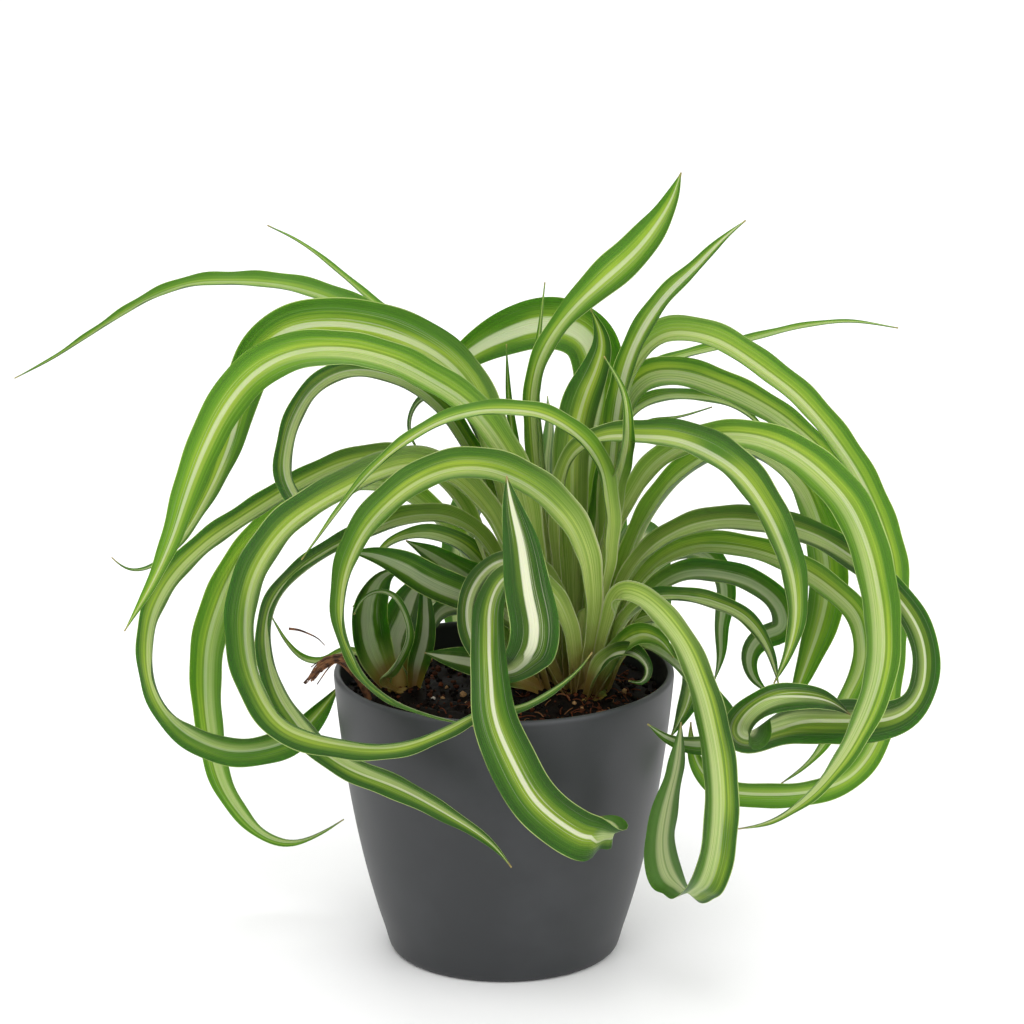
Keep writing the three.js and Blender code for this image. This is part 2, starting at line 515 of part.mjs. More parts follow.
function addMesh(group, name, solid, finish) {
  const material = new THREE.MeshStandardMaterial({ ...finish, metalness: 0 });
  const mesh = new THREE.Mesh(toGeometry(solid), material);
  mesh.name = name;
  group.add(mesh);
}

// A closed mesh from rings of equal length, joined in order. The second half of a ring is split along
// the other diagonal, so that both faces of a twisted blade are alike, and the flat caps fan out from
// each ring's second point, which is the inner corner of a folded blade.
function closedLoft(rings) {
  const perRing = rings[0].length;
  const positions = rings.flat().flatMap((p) => [p.x, p.y, p.z]);
  const index = [];
  for (let i = 0; i < rings.length - 1; i += 1) {
    for (let j = 0; j < perRing; j += 1) {
      const a = i * perRing + j;
      const b = i * perRing + ((j + 1) % perRing);
      if (j < perRing / 2) index.push(a, b, b + perRing, a, b + perRing, a + perRing);
      else index.push(a, b, a + perRing, b, b + perRing, a + perRing);
    }
  }
  const last = (rings.length - 1) * perRing;
  for (let j = 2; j < perRing; j += 1) {
    const next = (j + 1) % perRing;
    index.push(1, next, j);
    index.push(last + 1, last + j, last + next);
  }
  const geometry = new THREE.BufferGeometry();
  geometry.setAttribute('position', new THREE.Float32BufferAttribute(positions, 3));
  geometry.setIndex(index);
  return geometry;
}

// ---------------------------------------------------------------- pot and soil

// The outside of the pot from its flat foot to the rim.
function potOutline() {
  const heelTop = new THREE.Vector2(POT_SIDE_RADIUS, POT_HEEL_HEIGHT);
  const heel = new THREE.CubicBezierCurve(
    new THREE.Vector2(POT_FOOT_RADIUS, 0),
    new THREE.Vector2(POT_FOOT_RADIUS + POT_HEEL_ROUNDING.out, 0),
    new THREE.Vector2(POT_FOOT_RADIUS + POT_HEEL_ROUNDING.out, POT_HEEL_ROUNDING.up),
    heelTop,
  );
  const side = new THREE.CubicBezierCurve(
    heelTop,
    new THREE.Vector2(POT_SIDE_RADIUS + POT_BELLY_LOW.out, POT_BELLY_LOW.height),
    new THREE.Vector2(POT_RIM_RADIUS - POT_BELLY_HIGH.in, POT_BELLY_HIGH.height),
    new THREE.Vector2(POT_RIM_RADIUS, POT_HEIGHT - POT_LIP_HEIGHT),
  );
  return { heel: heel.getPoints(POT_HEEL_STEPS), side: side.getPoints(POT_SIDE_STEPS) };
}

function potSideRadius(height) {
  const { side } = potOutline();
  for (let i = 1; i < side.length; i += 1) {
    if (height <= side[i].y) {
      const share = (height - side[i - 1].y) / (side[i].y - side[i - 1].y);
      return THREE.MathUtils.lerp(side[i - 1].x, side[i].x, share);
    }
  }
  return POT_RIM_RADIUS;
}

function makePot() {
  const { heel, side } = potOutline();
  const inside = side.slice(1, -1).reverse().map((p) => new THREE.Vector2(p.x - POT_WALL, p.y));
  const lip = [
    new THREE.Vector2(POT_RIM_RADIUS - POT_WALL * 0.25, POT_HEIGHT),
    new THREE.Vector2(POT_RIM_RADIUS - POT_WALL * 0.75, POT_HEIGHT),
    new THREE.Vector2(POT_RIM_RADIUS - POT_WALL, POT_HEIGHT - POT_LIP_HEIGHT),
  ];
  const profile = [
    new THREE.Vector2(0, 0),
    ...heel,
    ...side.slice(1),
    ...lip,
    ...inside,
    new THREE.Vector2(POT_FLOOR_RADIUS + POT_FLOOR_ROUNDING, POT_FLOOR + POT_FLOOR_ROUNDING),
    new THREE.Vector2(POT_FLOOR_RADIUS, POT_FLOOR),
    new THREE.Vector2(0, POT_FLOOR),
  ];
  return toSolid(new THREE.LatheGeometry(profile, POT_FACETS).rotateX(Math.PI / 2));
}

function soilHeight(radius, angle) {
  const lumps = Math.sin(radius * 0.31 + 2 * angle) * Math.cos(3 * angle - radius * 0.17)
    + 0.6 * Math.sin(7 * angle + radius * 0.5);
  return SOIL_LEVEL + SOIL_LUMP * lumps - SOIL_DISH * (radius / POT_RIM_RADIUS) ** 2;
}

function soilRing(radius, height) {
  return Array.from({ length: POT_FACETS }, (_, k) => {
    const angle = (2 * Math.PI * k) / POT_FACETS;
    const z = height ?? soilHeight(radius, angle);
    return new THREE.Vector3(radius * Math.sin(angle), -radius * Math.cos(angle), z);
  });
}

// The soil fills the pot, a clearance inside its wall and above its floor.
function makeSoil() {
  const inset = POT_WALL + CLEARANCE;
  const { side } = potOutline();
  const wall = side.slice(1).filter((p) => p.y < SOIL_LEVEL - SOIL_EDGE_DROP);
  const edge = potSideRadius(SOIL_LEVEL - SOIL_EDGE_DROP) - inset;
  const surface = Array.from({ length: SOIL_RINGS }, (_, i) => edge * (1 - i / SOIL_RINGS));
  return toSolid(closedLoft([
    soilRing(POT_FLOOR_RADIUS - 3 * CLEARANCE, POT_FLOOR + CLEARANCE),
    soilRing(POT_FLOOR_RADIUS + POT_FLOOR_ROUNDING - 3 * CLEARANCE, POT_FLOOR + POT_FLOOR_ROUNDING),
    ...wall.map((p) => soilRing(p.x - inset, p.y)),
    ...surface.map((radius) => soilRing(radius, null)),
  ]));
}

// ---------------------------------------------------------------- leaves

// A point seen at (across, up) on the drawing plane, moved along the line of sight to its depth.
function seen([across, up, depth]) {
  const onPlane = new THREE.Vector3(across, up * Math.sin(EYE_PITCH), up * Math.cos(EYE_PITCH));
  const reach = (depth - EYE.y) / (onPlane.y - EYE.y);
  return EYE.clone().lerp(onPlane, reach);
}

function keyed(keys, share) {
  for (let i = 1; i < keys.length; i += 1) {
    const [s0, v0] = keys[i - 1];
    const [s1, v1] = keys[i];
    if (share <= s1) return THREE.MathUtils.lerp(v0, v1, THREE.MathUtils.smoothstep(share, s0, s1));
  }
  return keys[keys.length - 1][1];
}

function halfWidth(leaf, share) {
  const swell = keyed(leaf.spread ?? BLADE_SPREAD, share);
  const over = Math.max(0, (share - leaf.taperFrom) / (1 - leaf.taperFrom));
  return Math.max(TIP_HALF_WIDTH, (leaf.width / 2) * swell * (1 - over ** TAPER_POWER));
}

function bladeCurve(leaf) {
  return new THREE.CatmullRomCurve3(leaf.route.map(seen), false, 'centripetal');
}

// One cross-section: three points on the upper face and three below, folded up at the midrib. It is
// set so that the route runs down the middle of the blade as the eye sees it.
function bladeSection(leaf, curve, share, extra) {
  const point = curve.getPointAt(share);
  const along = curve.getTangentAt(share);
  const toEye = EYE.clone().sub(point).normalize();
  const facing = toEye.addScaledVector(along, -toEye.dot(along)).normalize();
  const sideways = along.clone().cross(facing);
  const turn = THREE.MathUtils.degToRad(keyed(leaf.face, share)) * leaf.arch;
  const [foldBase, foldTip] = leaf.fold ?? BLADE_FOLD;
  const rise = THREE.MathUtils.degToRad(THREE.MathUtils.lerp(foldBase, foldTip, share));
  const half = halfWidth(leaf, share);
  const edges = [-1, 0, 1].map((side) => half
    * (side * Math.cos(rise) * Math.cos(turn) + Math.abs(side) * Math.sin(rise) * Math.sin(turn)));
  point.addScaledVector(sideways, -(Math.max(...edges) + Math.min(...edges)) / 2);
  const normal = facing.multiplyScalar(Math.cos(turn)).addScaledVector(sideways, Math.sin(turn));
  const across = along.clone().cross(normal);
  const depth = BLADE_THICKNESS / Math.cos(rise) + 2 * extra;
  const at = (side, lower) => point.clone()
    .addScaledVector(across, side * (half + extra) * Math.cos(rise))
    .addScaledVector(normal, Math.abs(side) * (half + extra) * Math.sin(rise) + extra - lower * depth);
  return [at(-1, 0), at(0, 0), at(1, 0), at(1, 1), at(0, 1), at(-1, 1)];
}

// Where the cross-sections go: closer together where the blade bends or twists.
function bladeShares(leaf, from, to) {
  const curve = bladeCurve(leaf);
  const length = curve.getLength();
  const shares = [from];
  const spent = [0];
  for (let i = 1; i <= BLADE_SAMPLES; i += 1) {
    const before = THREE.MathUtils.lerp(from, to, (i - 1) / BLADE_SAMPLES);
    const share = THREE.MathUtils.lerp(from, to, i / BLADE_SAMPLES);
    const bend = curve.getTangentAt(before).angleTo(curve.getTangentAt(share));
    const twist = Math.abs(keyed(leaf.face, share) - keyed(leaf.face, before));
    const cost = ((share - before) * length) / BLADE_STEP + bend / BLADE_BEND + twist / BLADE_TWIST;
    shares.push(share);
    spent.push(spent[i - 1] + cost);
  }
  const steps = Math.max(2, Math.round(spent[BLADE_SAMPLES]));
  const chosen = [];
  let at = 0;
  for (let i = 0; i <= steps; i += 1) {
    const goal = (spent[BLADE_SAMPLES] * i) / steps;
    while (at < BLADE_SAMPLES && spent[at] < goal) at += 1;
    chosen.push(shares[at]);
  }
  chosen[steps] = to;
  return chosen;
}

function moveRing(ring, direction, distance) {
  for (const p of ring) p.addScaledVector(direction, distance);
}

const sheathShare = (leaf) => (leaf.sheath ?? SHEATH_LENGTH) / bladeCurve(leaf).getLength();

// The clasping base of a leaf, which is part of the crown: straight, and sunk into the rootstock.
function sheath(leaf, extra) {
  const curve = bladeCurve(leaf);
  const end = sheathShare(leaf);
  const rings = [0, end].map((share) => bladeSection(leaf, curve, share, extra));
  const rooting = curve.getTangentAt(0);
  const sunk = Math.max(0, (curve.getPointAt(0).z - SOIL_LEVEL) / rooting.z) + ROOTING_DEPTH;
  moveRing(rings[0], rooting, -sunk - extra);
  moveRing(rings[1], curve.getTangentAt(end), extra);
  return toSolid(closedLoft(rings));
}

// The free blade beyond the sheath, to the tip.
function freeBlade(leaf) {
  const curve = bladeCurve(leaf);
  const start = sheathShare(leaf) + SHEATH_GAP / curve.getLength();
  return toSolid(closedLoft(
    bladeShares(leaf, start, 1).map((share) => bladeSection(leaf, curve, share, 0)),
  ));
}

// ---------------------------------------------------------------- roots

// A tuft of old roots that comes up out of the soil and lies over the rim.
const ROOT_ROUTE = [[-55, 97, -9], [-58, 105, -10], [-63, 114, -11], [-69, 119, -11], [-76, 116, -10],
  [-83, 108, -8]];

// One strand of the tuft, which strays further from the common route the nearer it is to its tip.
function rootStrand(k, extra) {
  const swing = (2 * Math.PI * k) / ROOT_STRANDS;
  const route = ROOT_ROUTE.map((p, i) => {
    const share = i / (ROOT_ROUTE.length - 1);
    const stray = ROOT_SPREAD * (ROOT_SPREAD_AT_START + share ** 1.6);
    const offset = new THREE.Vector3(0.7 * Math.cos(3 * swing), Math.sin(swing), 0.6 * Math.cos(swing));
    return seen(p).addScaledVector(offset, stray);
  });
  const curve = new THREE.CatmullRomCurve3(route, false, 'centripetal');
  const { normals, binormals } = curve.computeFrenetFrames(ROOT_STEPS);
  const rings = normals.map((normal, i) => {
    const centre = curve.getPointAt(i / ROOT_STEPS);
    const radius = THREE.MathUtils.lerp(ROOT_RADIUS, ROOT_TIP_RADIUS, i / ROOT_STEPS) + extra;
    return Array.from({ length: ROOT_FACETS }, (_, j) => {
      const angle = (2 * Math.PI * j) / ROOT_FACETS + k;
      return centre.clone()
        .addScaledVector(normal, radius * Math.cos(angle))
        .addScaledVector(binormals[i], radius * Math.sin(angle));
    });
  });
  return toSolid(closedLoft(rings));
}

function makeRootTuft(extra = 0) {
  let tuft = rootStrand(0, extra);
  for (let k = 1; k < ROOT_STRANDS; k += 1) tuft = tuft.add(rootStrand(k, extra));
  return tuft;
}

// ---------------------------------------------------------------- crowns

// Each crown is a rootstock just above the soil, one or more growing points on it, given as
// [x, y, radius, height], and the leaves that clasp them.
const CROWNS = [
  {
    name: 'crown', x: 26.5, y: 1, radius: 18, stretch: 1.06,
    points: [[33, 2, 8.5, 34], [18, 4, 6.5, 30]],
    leaves: [...LEFT_LEAVES, ...FRONT_LEAVES, ...RIGHT_LEAVES, ...UPRIGHT_LEAVES, ...BACK_LEAVES],
  },
  {
    name: 'crown_offset', x: -43, y: 4, radius: 9.5, stretch: 1,
    points: [[-43, 3, 4, 10]],
    leaves: OFFSET_LEAVES,
  },
];

function turned(profile, x, y, stretch = 1) {
  const lathe = new THREE.LatheGeometry(profile.map(([r, z]) => new THREE.Vector2(r, z)), CROWN_FACETS);
  lathe.rotateX(Math.PI / 2).scale(stretch, 1, 1).translate(x, y, SOIL_LEVEL);
  return toSolid(lathe);
}

// A crown as one solid. extra grows it on all sides, for cutting its neighbours clear.
function makeCrown(crown, extra = 0) {
  const { x, y, radius, stretch } = crown;
  let solid = turned([
    [0, -CROWN_DEPTH - extra], [radius * 0.6 + extra, -CROWN_DEPTH - extra],
    [radius + extra, -CROWN_DEPTH * 0.4], [radius + extra, CROWN_RISE * 0.3],
    [radius * 0.7 + extra, CROWN_RISE + extra], [0, CROWN_RISE + extra],
  ], x, y, stretch);
  for (const [px, py, r, height] of crown.points) {
    solid = solid.add(turned([
      [0, -extra], [r + extra, -extra], [r * 1.05 + extra, height * 0.25],
      [r * 0.7 + extra, height * 0.7], [r * 0.3 + extra, height + extra], [0, height + extra],
    ], px, py));
  }
  for (const leaf of crown.leaves) solid = solid.add(sheath(leaf, extra));
  return solid;
}

// ---------------------------------------------------------------- assembly

const plant = new THREE.Group();
addMesh(plant, 'pot', makePot(), FINISH.pot);

for (const crown of CROWNS) {
  addMesh(plant, crown.name, largestPiece(makeCrown(crown)), FINISH.crown);
}
addMesh(plant, 'root_tuft', largestPiece(makeRootTuft()), FINISH.root);

const crownsGrown = CROWNS.map((crown) => makeCrown(crown, CLEARANCE)).reduce((a, b) => a.add(b));
const soil = makeSoil().subtract(crownsGrown).subtract(makeRootTuft(CLEARANCE));
addMesh(plant, 'soil', largestPiece(soil), FINISH.soil);

for (const leaf of CROWNS.flatMap((crown) => crown.leaves)) {
  const body = largestPiece(freeBlade(leaf).subtract(crownsGrown));
  addMesh(plant, leaf.name, body, FINISH[leaf.tint]);
}

export default plant;
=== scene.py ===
"""A potted spider plant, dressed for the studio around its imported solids.

Every leaf is a finer blade in the place of its solid, on the same route but for a few ends that
curl further. Its base, the sheath, belongs to the crown that it grows from. Lengths of the plant
are in millimetres and angles in degrees, and meshes are in metres. +X is to the right, +Y away
from the camera, +Z up, and the origin is the centre of the pot's foot.
"""

from __future__ import annotations

import json
import logging
import math
import random
from dataclasses import dataclass, field
from enum import Enum
from itertools import pairwise

import bpy
import numpy as np
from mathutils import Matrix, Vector, noise

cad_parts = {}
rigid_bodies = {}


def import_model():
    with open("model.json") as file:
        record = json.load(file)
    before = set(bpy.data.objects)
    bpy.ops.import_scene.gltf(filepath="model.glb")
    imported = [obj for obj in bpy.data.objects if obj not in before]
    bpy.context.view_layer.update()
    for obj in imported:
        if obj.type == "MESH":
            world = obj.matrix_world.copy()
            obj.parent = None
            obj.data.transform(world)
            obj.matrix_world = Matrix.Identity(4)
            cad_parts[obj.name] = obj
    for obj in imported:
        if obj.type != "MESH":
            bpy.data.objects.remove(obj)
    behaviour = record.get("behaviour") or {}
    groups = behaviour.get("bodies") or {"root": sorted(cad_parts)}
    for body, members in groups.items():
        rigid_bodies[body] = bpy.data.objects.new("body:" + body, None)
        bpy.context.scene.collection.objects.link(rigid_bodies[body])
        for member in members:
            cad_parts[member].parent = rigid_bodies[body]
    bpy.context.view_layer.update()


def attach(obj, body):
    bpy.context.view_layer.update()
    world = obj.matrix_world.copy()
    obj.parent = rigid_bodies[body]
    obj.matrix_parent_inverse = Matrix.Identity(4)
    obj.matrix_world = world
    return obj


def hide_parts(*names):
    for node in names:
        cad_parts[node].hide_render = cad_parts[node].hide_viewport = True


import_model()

LOG = logging.getLogger("spider_plant")
Node = bpy.types.Node
Socket = bpy.types.NodeSocket
Piece = bpy.types.Object
Material = bpy.types.Material

Span = tuple[float, float]  # two ends of a range, or a place in a plane
Point = tuple[float, float, float]
Colour = tuple[float, float, float, float]
Stand = tuple[float, float, float, float]  # across, depth, radius and height
Keys = tuple[Span, ...]  # (place, value), in order
Link = Socket | float | tuple[float, ...]  # what a node's socket can take

MM = 0.001
ROOT_BODY = "root"
SEED = 7
MERGE_DISTANCE = 0.02

# The eye that the routes are drawn from: across, in front of the pot and above its foot.
EYE = np.array((3.3, -1800.0, 698.0))
EYE_PITCH = math.radians(15.85)
SENSOR_WIDTH = 36.0
LENS = 161.5

SOIL_LEVEL = 111.0
SHEATH_LENGTH = 42.0


class Arch(Enum):
    """The side to which a leaf arches, as seen from the eye."""

    LEFT = 1
    RIGHT = -1


class Look(Enum):
    """The colouring of a leaf."""

    FRESH = "fresh"
    PLAIN = "plain"
    RICH = "rich"
    PALE = "pale"
    STRIPED = "striped"
    BOLD = "bold"
    # Deep green, which also paints the shade on the low, hidden and back leaves.
    DEEP_SHADED = "deep"


class Slot(Enum):
    """The record's material slots."""

    POT = "pot_plastic"
    SOIL = "potting_soil"
    ROOTS = "dry_roots"
    SHEATH = "leaf_sheath"
    BLADE = "leaf_blade"


@dataclass(frozen=True)
class Leaf:
    """One leaf as it grows.

    A route point is (across, up, depth): where the leaf is seen on the drawing plane, which stands
    square to the line of sight at the foot of the pot, and how far behind (+) or in front (-) of
    the pot's middle it runs. A face key is (share of the length, degrees): 0 turns the upper face
    to the eye, 90 to the outside of the arch and 180 away from the eye. The leaf tapers from a
    share of its length to the tip, later and faster with a higher power. Fold is how far each
    half rises from flat at the root and at the tip, spread how much of the width is open along
    the leaf, sheath how long its clasping base is, and the last field how far painted light may
    pale its inner half.
    """

    name: str
    arch: Arch
    look: Look
    width: float
    route: tuple[Point, ...]
    face: Keys
    taper_from: float = 0.5
    fold: Span = (42, 24)
    spread: Keys = ((0, 0.55), (0.35, 1))
    sheath: float = SHEATH_LENGTH
    taper_power: float = 1.9
    # How far painted light pales the inner half, where the leaf turns its side to the eye.
    lit_half: float = 1.0


# ---------- working on meshes


def clear_selection() -> None:
    """Leaves nothing selected, so that an operator acts only on what is added next."""
    for item in bpy.context.view_layer.objects:
        item.select_set(False)


def select_only(piece: Piece) -> None:
    """Makes a piece the only selected object and the active one.

    Args:
        piece: The piece.
    """
    clear_selection()
    piece.select_set(True)
    bpy.context.view_layer.objects.active = piece


def rename(piece: Piece, name: str) -> None:
    """Gives a piece and its mesh the same name."""
    piece.name = name
    piece.data.name = name


def apply_modifier(piece: Piece, kind: str, **settings: object) -> None:
    """Adds a modifier to a piece and applies it.

    Args:
        piece: The piece to shape.
        kind: Blender's name for the kind of modifier.
        settings: The modifier's own settings.
    """
    select_only(piece)
    modifier = piece.modifiers.new(kind.lower(), kind)
    for name, value in settings.items():
        setattr(modifier, name, value)
    bpy.ops.object.modifier_apply(modifier=modifier.name)


def join_pieces(parts: list[Piece], name: str) -> Piece:
    """Joins parts into one piece.

    Args:
        parts: The parts, of which the first keeps its materials' order.
        name: The name of the joined piece.

    Returns:
        The joined piece.
    """
    select_only(parts[0])
    for part in parts:
        part.select_set(True)
    bpy.ops.object.join()
    joined = bpy.context.view_layer.objects.active
    rename(joined, name)
    return joined


def smooth(piece: Piece, angle: float) -> None:
    """Shades a piece smooth, but for edges sharper than an angle in degrees."""
    select_only(piece)
    bpy.ops.object.shade_smooth_by_angle(angle=math.radians(angle))


def set_attribute(piece: Piece, name: str, values: np.ndarray | float) -> None:
    """Stores a number for each vertex of a piece, which its finish reads.

    Args:
        piece: The piece.
        name: The name that the finish reads.
        values: One number for each vertex, or one for all.
    """
    rows = np.broadcast_to(np.asarray(values, dtype=np.float32), len(piece.data.vertices))
    layer = piece.data.attributes.new(name, "FLOAT", "POINT")
    layer.data.foreach_set("value", np.ascontiguousarray(rows))


def get_points(piece: Piece) -> np.ndarray:
    """Reads a mesh's vertices.

    Args:
        piece: The piece.

    Returns:
        The vertices, one row each, in metres.
    """
    points = np.empty(len(piece.data.vertices) * 3, dtype=np.float32)
    piece.data.vertices.foreach_get("co", points)
    return points.reshape(-1, 3).astype(float)


def set_points(piece: Piece, points: np.ndarray) -> None:
    """Writes a mesh's vertices, one row each, in metres."""
    piece.data.vertices.foreach_set("co", np.asarray(points, dtype=np.float32).ravel())
    piece.data.update()


def turned_body(name: str, profile: list[Span], facets: int) -> Piece:
    """Turns a closed body from a disc that is extruded and scaled from ring to ring.

    Args:
        name: The body's name.
        profile: The rings in order, as (radius, height) in millimetres, none on the axis itself.
        facets: How many sides each ring has.

    Returns:
        The body, in metres, with flat caps on its first and last ring.
    """
    clear_selection()
    radius, height = profile[0]
    bpy.ops.mesh.primitive_circle_add(
        vertices=facets, radius=radius * MM, fill_type="NGON", location=(0, 0, 0)
    )
    body = bpy.context.object
    body.name = name
    bpy.ops.object.mode_set(mode="EDIT")
    bpy.ops.mesh.select_all(action="SELECT")
    bpy.ops.transform.translate(value=(0, 0, height * MM))
    for (before, low), (after, high) in pairwise(profile):
        rise = (0, 0, (high - low) * MM)
        bpy.ops.mesh.extrude_region_move(TRANSFORM_OT_translate={"value": rise})
        grow = after / before
        bpy.ops.transform.resize(value=(grow, grow, 1), center_override=(0, 0, high * MM))
    bpy.ops.mesh.select_all(action="SELECT")
    bpy.ops.mesh.remove_doubles(threshold=MERGE_DISTANCE * MM)
    bpy.ops.mesh.normals_make_consistent(inside=False)
    bpy.ops.object.mode_set(mode="OBJECT")
    return body


def strand(name: str, points: np.ndarray, radii: np.ndarray) -> Piece:
    """Makes a thin, round, closed strand along points.

    Args:
        name: The strand's name.
        points: Its middle line in millimetres.
        radii: Its radius at each point, in millimetres.

    Returns:
        The strand as a mesh.
    """
    clear_selection()
    bpy.ops.curve.primitive_nurbs_path_add(location=(0, 0, 0))
    curve = bpy.context.object.data
    curve.splines.clear()
    spline = curve.splines.new("POLY")
    spline.points.add(len(points) - 1)
    for spot, place, radius in zip(spline.points, points, radii):
        spot.co = (*(place * MM), 1.0)
        spot.radius = radius
    curve.bevel_depth = MM
    curve.bevel_resolution = 0
    curve.use_fill_caps = True
    bpy.ops.object.convert(target="MESH")
    piece = bpy.context.object
    rename(piece, name)
    smooth(piece, 60.0)
    return piece


def bezier(points: tuple[Span, ...], steps: int) -> list[Span]:
    """Samples a cubic curve in a plane.

    Args:
        points: Its two ends with the two handles between them.
        steps: How many stretches to cut it into.

    Returns:
        The points along it, both ends included.
    """
    corners = np.array(points)
    rows = []
    for t in np.linspace(0, 1, steps + 1):
        weights = np.array(((1 - t) ** 3, 3 * t * (1 - t) ** 2, 3 * t * t * (1 - t), t**3))
        rows.append(tuple(weights @ corners))
    return rows


def hand_over(
    piece: Piece,
    material: Material | None = None,
    node: str | None = None,
) -> None:
    """Dresses a finished piece, ties it to the frame and reports it.

    Args:
        piece: The piece.
        material: Its finish, or None to keep those that its parts have.
        node: The solid that the piece stands for, if there is one.
    """
    if material:
        piece.data.materials.clear()
        piece.data.materials.append(material)
    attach(piece, ROOT_BODY)
    if node:
        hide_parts(node)
    LOG.info("%s: %d faces", piece.name, len(piece.data.polygons))


# ---------- building node trees


def srgb(red: int, green: int, blue: int) -> Colour:
    """Turns a colour as a screen shows it into the linear colour that a shader takes.

    Args:
        red: Red, 0 to 255.
        green: Green, 0 to 255.
        blue: Blue, 0 to 255.

    Returns:
        The linear colour.
    """

    def linear(value: int) -> float:
        """Undoes the screen's own curve."""
        share = value / 255
        return share / 12.92 if share <= 0.04045 else ((share + 0.055) / 1.055) ** 2.4

    return (linear(red), linear(green), linear(blue), 1.0)


@dataclass(frozen=True)
class Fade:
    """Where a mask eases from 0, where it reaches its full cover, and that cover."""

    start: float
    end: float
    cover: float = 1.0


class Nodes:
    """Builds a node tree, one node at a time."""

    def __init__(self, tree: bpy.types.NodeTree) -> None:
        """Starts on a tree that may be empty."""
        self.tree = tree

    def feed(self, socket: Socket, value: Link) -> None:
        """Links a socket to another, or sets its own value.

        Args:
            socket: The socket that takes the value.
            value: The other socket, or the value.
        """
        if isinstance(value, Socket):
            self.tree.links.new(value, socket)
        else:
            socket.default_value = value

    def add(
        self, kind: str, inputs: dict[str | int, Link] | None = None, **settings: object
    ) -> Node:
        """Adds a node.

        Args:
            kind: The node's type.
            inputs: What goes into its sockets, by name or number.
            settings: The node's own settings.

        Returns:
            The node.
        """
        node = self.tree.nodes.new(kind)
        for name, value in settings.items():
            setattr(node, name, value)
        for key, value in (inputs or {}).items():
            self.feed(node.inputs[key], value)
        return node

    def math(self, operation: str, first: Link, second: Link = 0.0) -> Socket:
        """Adds a sum, product or other operation on two numbers and gives its result."""
        return self.add("ShaderNodeMath", {0: first, 1: second}, operation=operation).outputs[0]

    def scale(self, value: Link, factor: Link, start: Link = 0.0) -> Socket:
        """Gives start plus the value times a factor."""
        inputs = {0: value, 1: factor, 2: start}
        return self.add("ShaderNodeMath", inputs, operation="MULTIPLY_ADD").outputs[0]

    def both(self, first: Link, *others: Link) -> Socket:
        """Multiplies masks.

        Args:
            first: The first mask.
            others: The others.

        Returns:
            Their product.
        """
        for other in others:
            first = self.math("MULTIPLY", first, other)
        return first

    def ramp(self, value: Link, low: Link, high: Link, cover: float = 1.0) -> Socket:
        """Eases from 0 at low to the cover at high."""
        inputs = {"Value": value, "From Min": low, "From Max": high, "To Max": cover}
        return self.add("ShaderNodeMapRange", inputs, interpolation_type="SMOOTHSTEP").outputs[0]

    def fade(self, value: Link, fade: Fade) -> Socket:
        """Eases as a fade says."""
        return self.ramp(value, fade.start, fade.end, fade.cover)

    def faded(self, *pairs: tuple[Link, Fade]) -> Socket:
        """Multiplies the fades of several values."""
        return self.both(*(self.fade(value, fade) for value, fade in pairs))

    def mix(self, factor: Link, first: Link, second: Link) -> Socket:
        """Mixes two colours by a factor."""
        inputs = {"Factor": factor, 6: first, 7: second}
        return self.add("ShaderNodeMix", inputs, data_type="RGBA").outputs[2]

    def shades(self, value: Link, stops: tuple[tuple[float, Colour], ...]) -> Socket:
        """Reads a row of shades at a value.

        Args:
            value: The value.
            stops: The shades in order, each with its place from 0 to 1.

        Returns:
            The colour.
        """
        node = self.add("ShaderNodeValToRGB", {0: value})
        steps = node.color_ramp.elements
        while len(steps) < len(stops):
            steps.new(1.0)
        for step, (place, colour) in zip(steps, stops):
            step.position, step.color = place, colour
        return node.outputs[0]

    def vector(self, x: Link, y: Link, z: Link) -> Socket:
        """Puts three numbers together as a vector."""
        return self.add("ShaderNodeCombineXYZ", {0: x, 1: y, 2: z}).outputs[0]

    def split(self, vector: Link) -> bpy.types.NodeOutputs:
        """Takes a vector apart into its three numbers."""
        return self.add("ShaderNodeSeparateXYZ", {0: vector}).outputs

    def noise(self, vector: Link, scale: float, detail: float) -> Socket:
        """Adds soft noise and gives its value, from 0 to 1."""
        inputs = {"Vector": vector, "Scale": scale, "Detail": detail}
        return self.add("ShaderNodeTexNoise", inputs).outputs[0]

    def where(self) -> Socket:
        """Gives the place on the plant, in metres."""
        return self.add("ShaderNodeTexCoord").outputs["Object"]

    def attribute(self, name: str) -> Socket:
        """Gives the number that each vertex has under a name."""
        return self.add("ShaderNodeAttribute", attribute_name=name).outputs["Fac"]

    def bump(self, height: Link, strength: float, distance: float) -> Socket:
        """Turns a height into a surface direction."""
        inputs = {"Strength": strength, "Distance": distance, "Height": height}
        return self.add("ShaderNodeBump", inputs).outputs[0]


def new_group(
    name: str, inputs: tuple[str, ...], outputs: dict[str, str]
) -> tuple[Nodes, Node, Node]:
    """Starts a shader node group.

    Args:
        name: The group's name.
        inputs: The names of its inputs, all of them numbers.
        outputs: The names of its outputs, with each one's kind of socket.

    Returns:
        Its tree builder, its input node and its output node.
    """
    group = bpy.data.node_groups.new(name, "ShaderNodeTree")
    for title in inputs:
        group.interface.new_socket(title, in_out="INPUT", socket_type="NodeSocketFloat")
    for title, kind in outputs.items():
        group.interface.new_socket(title, in_out="OUTPUT", socket_type=kind)
    nodes = Nodes(group)
    return nodes, nodes.add("NodeGroupInput"), nodes.add("NodeGroupOutput")


def new_material(name: str) -> tuple[Material, Nodes, Node]:
    """Starts a material.

    Args:
        name: The material's name.

    Returns:
        The material, its tree builder and its surface shader.
    """
    material = bpy.data.materials.new(name)
    material.use_nodes = True
    nodes = Nodes(material.node_tree)
    return material, nodes, material.node_tree.nodes["Principled BSDF"]


# ---------- finishes

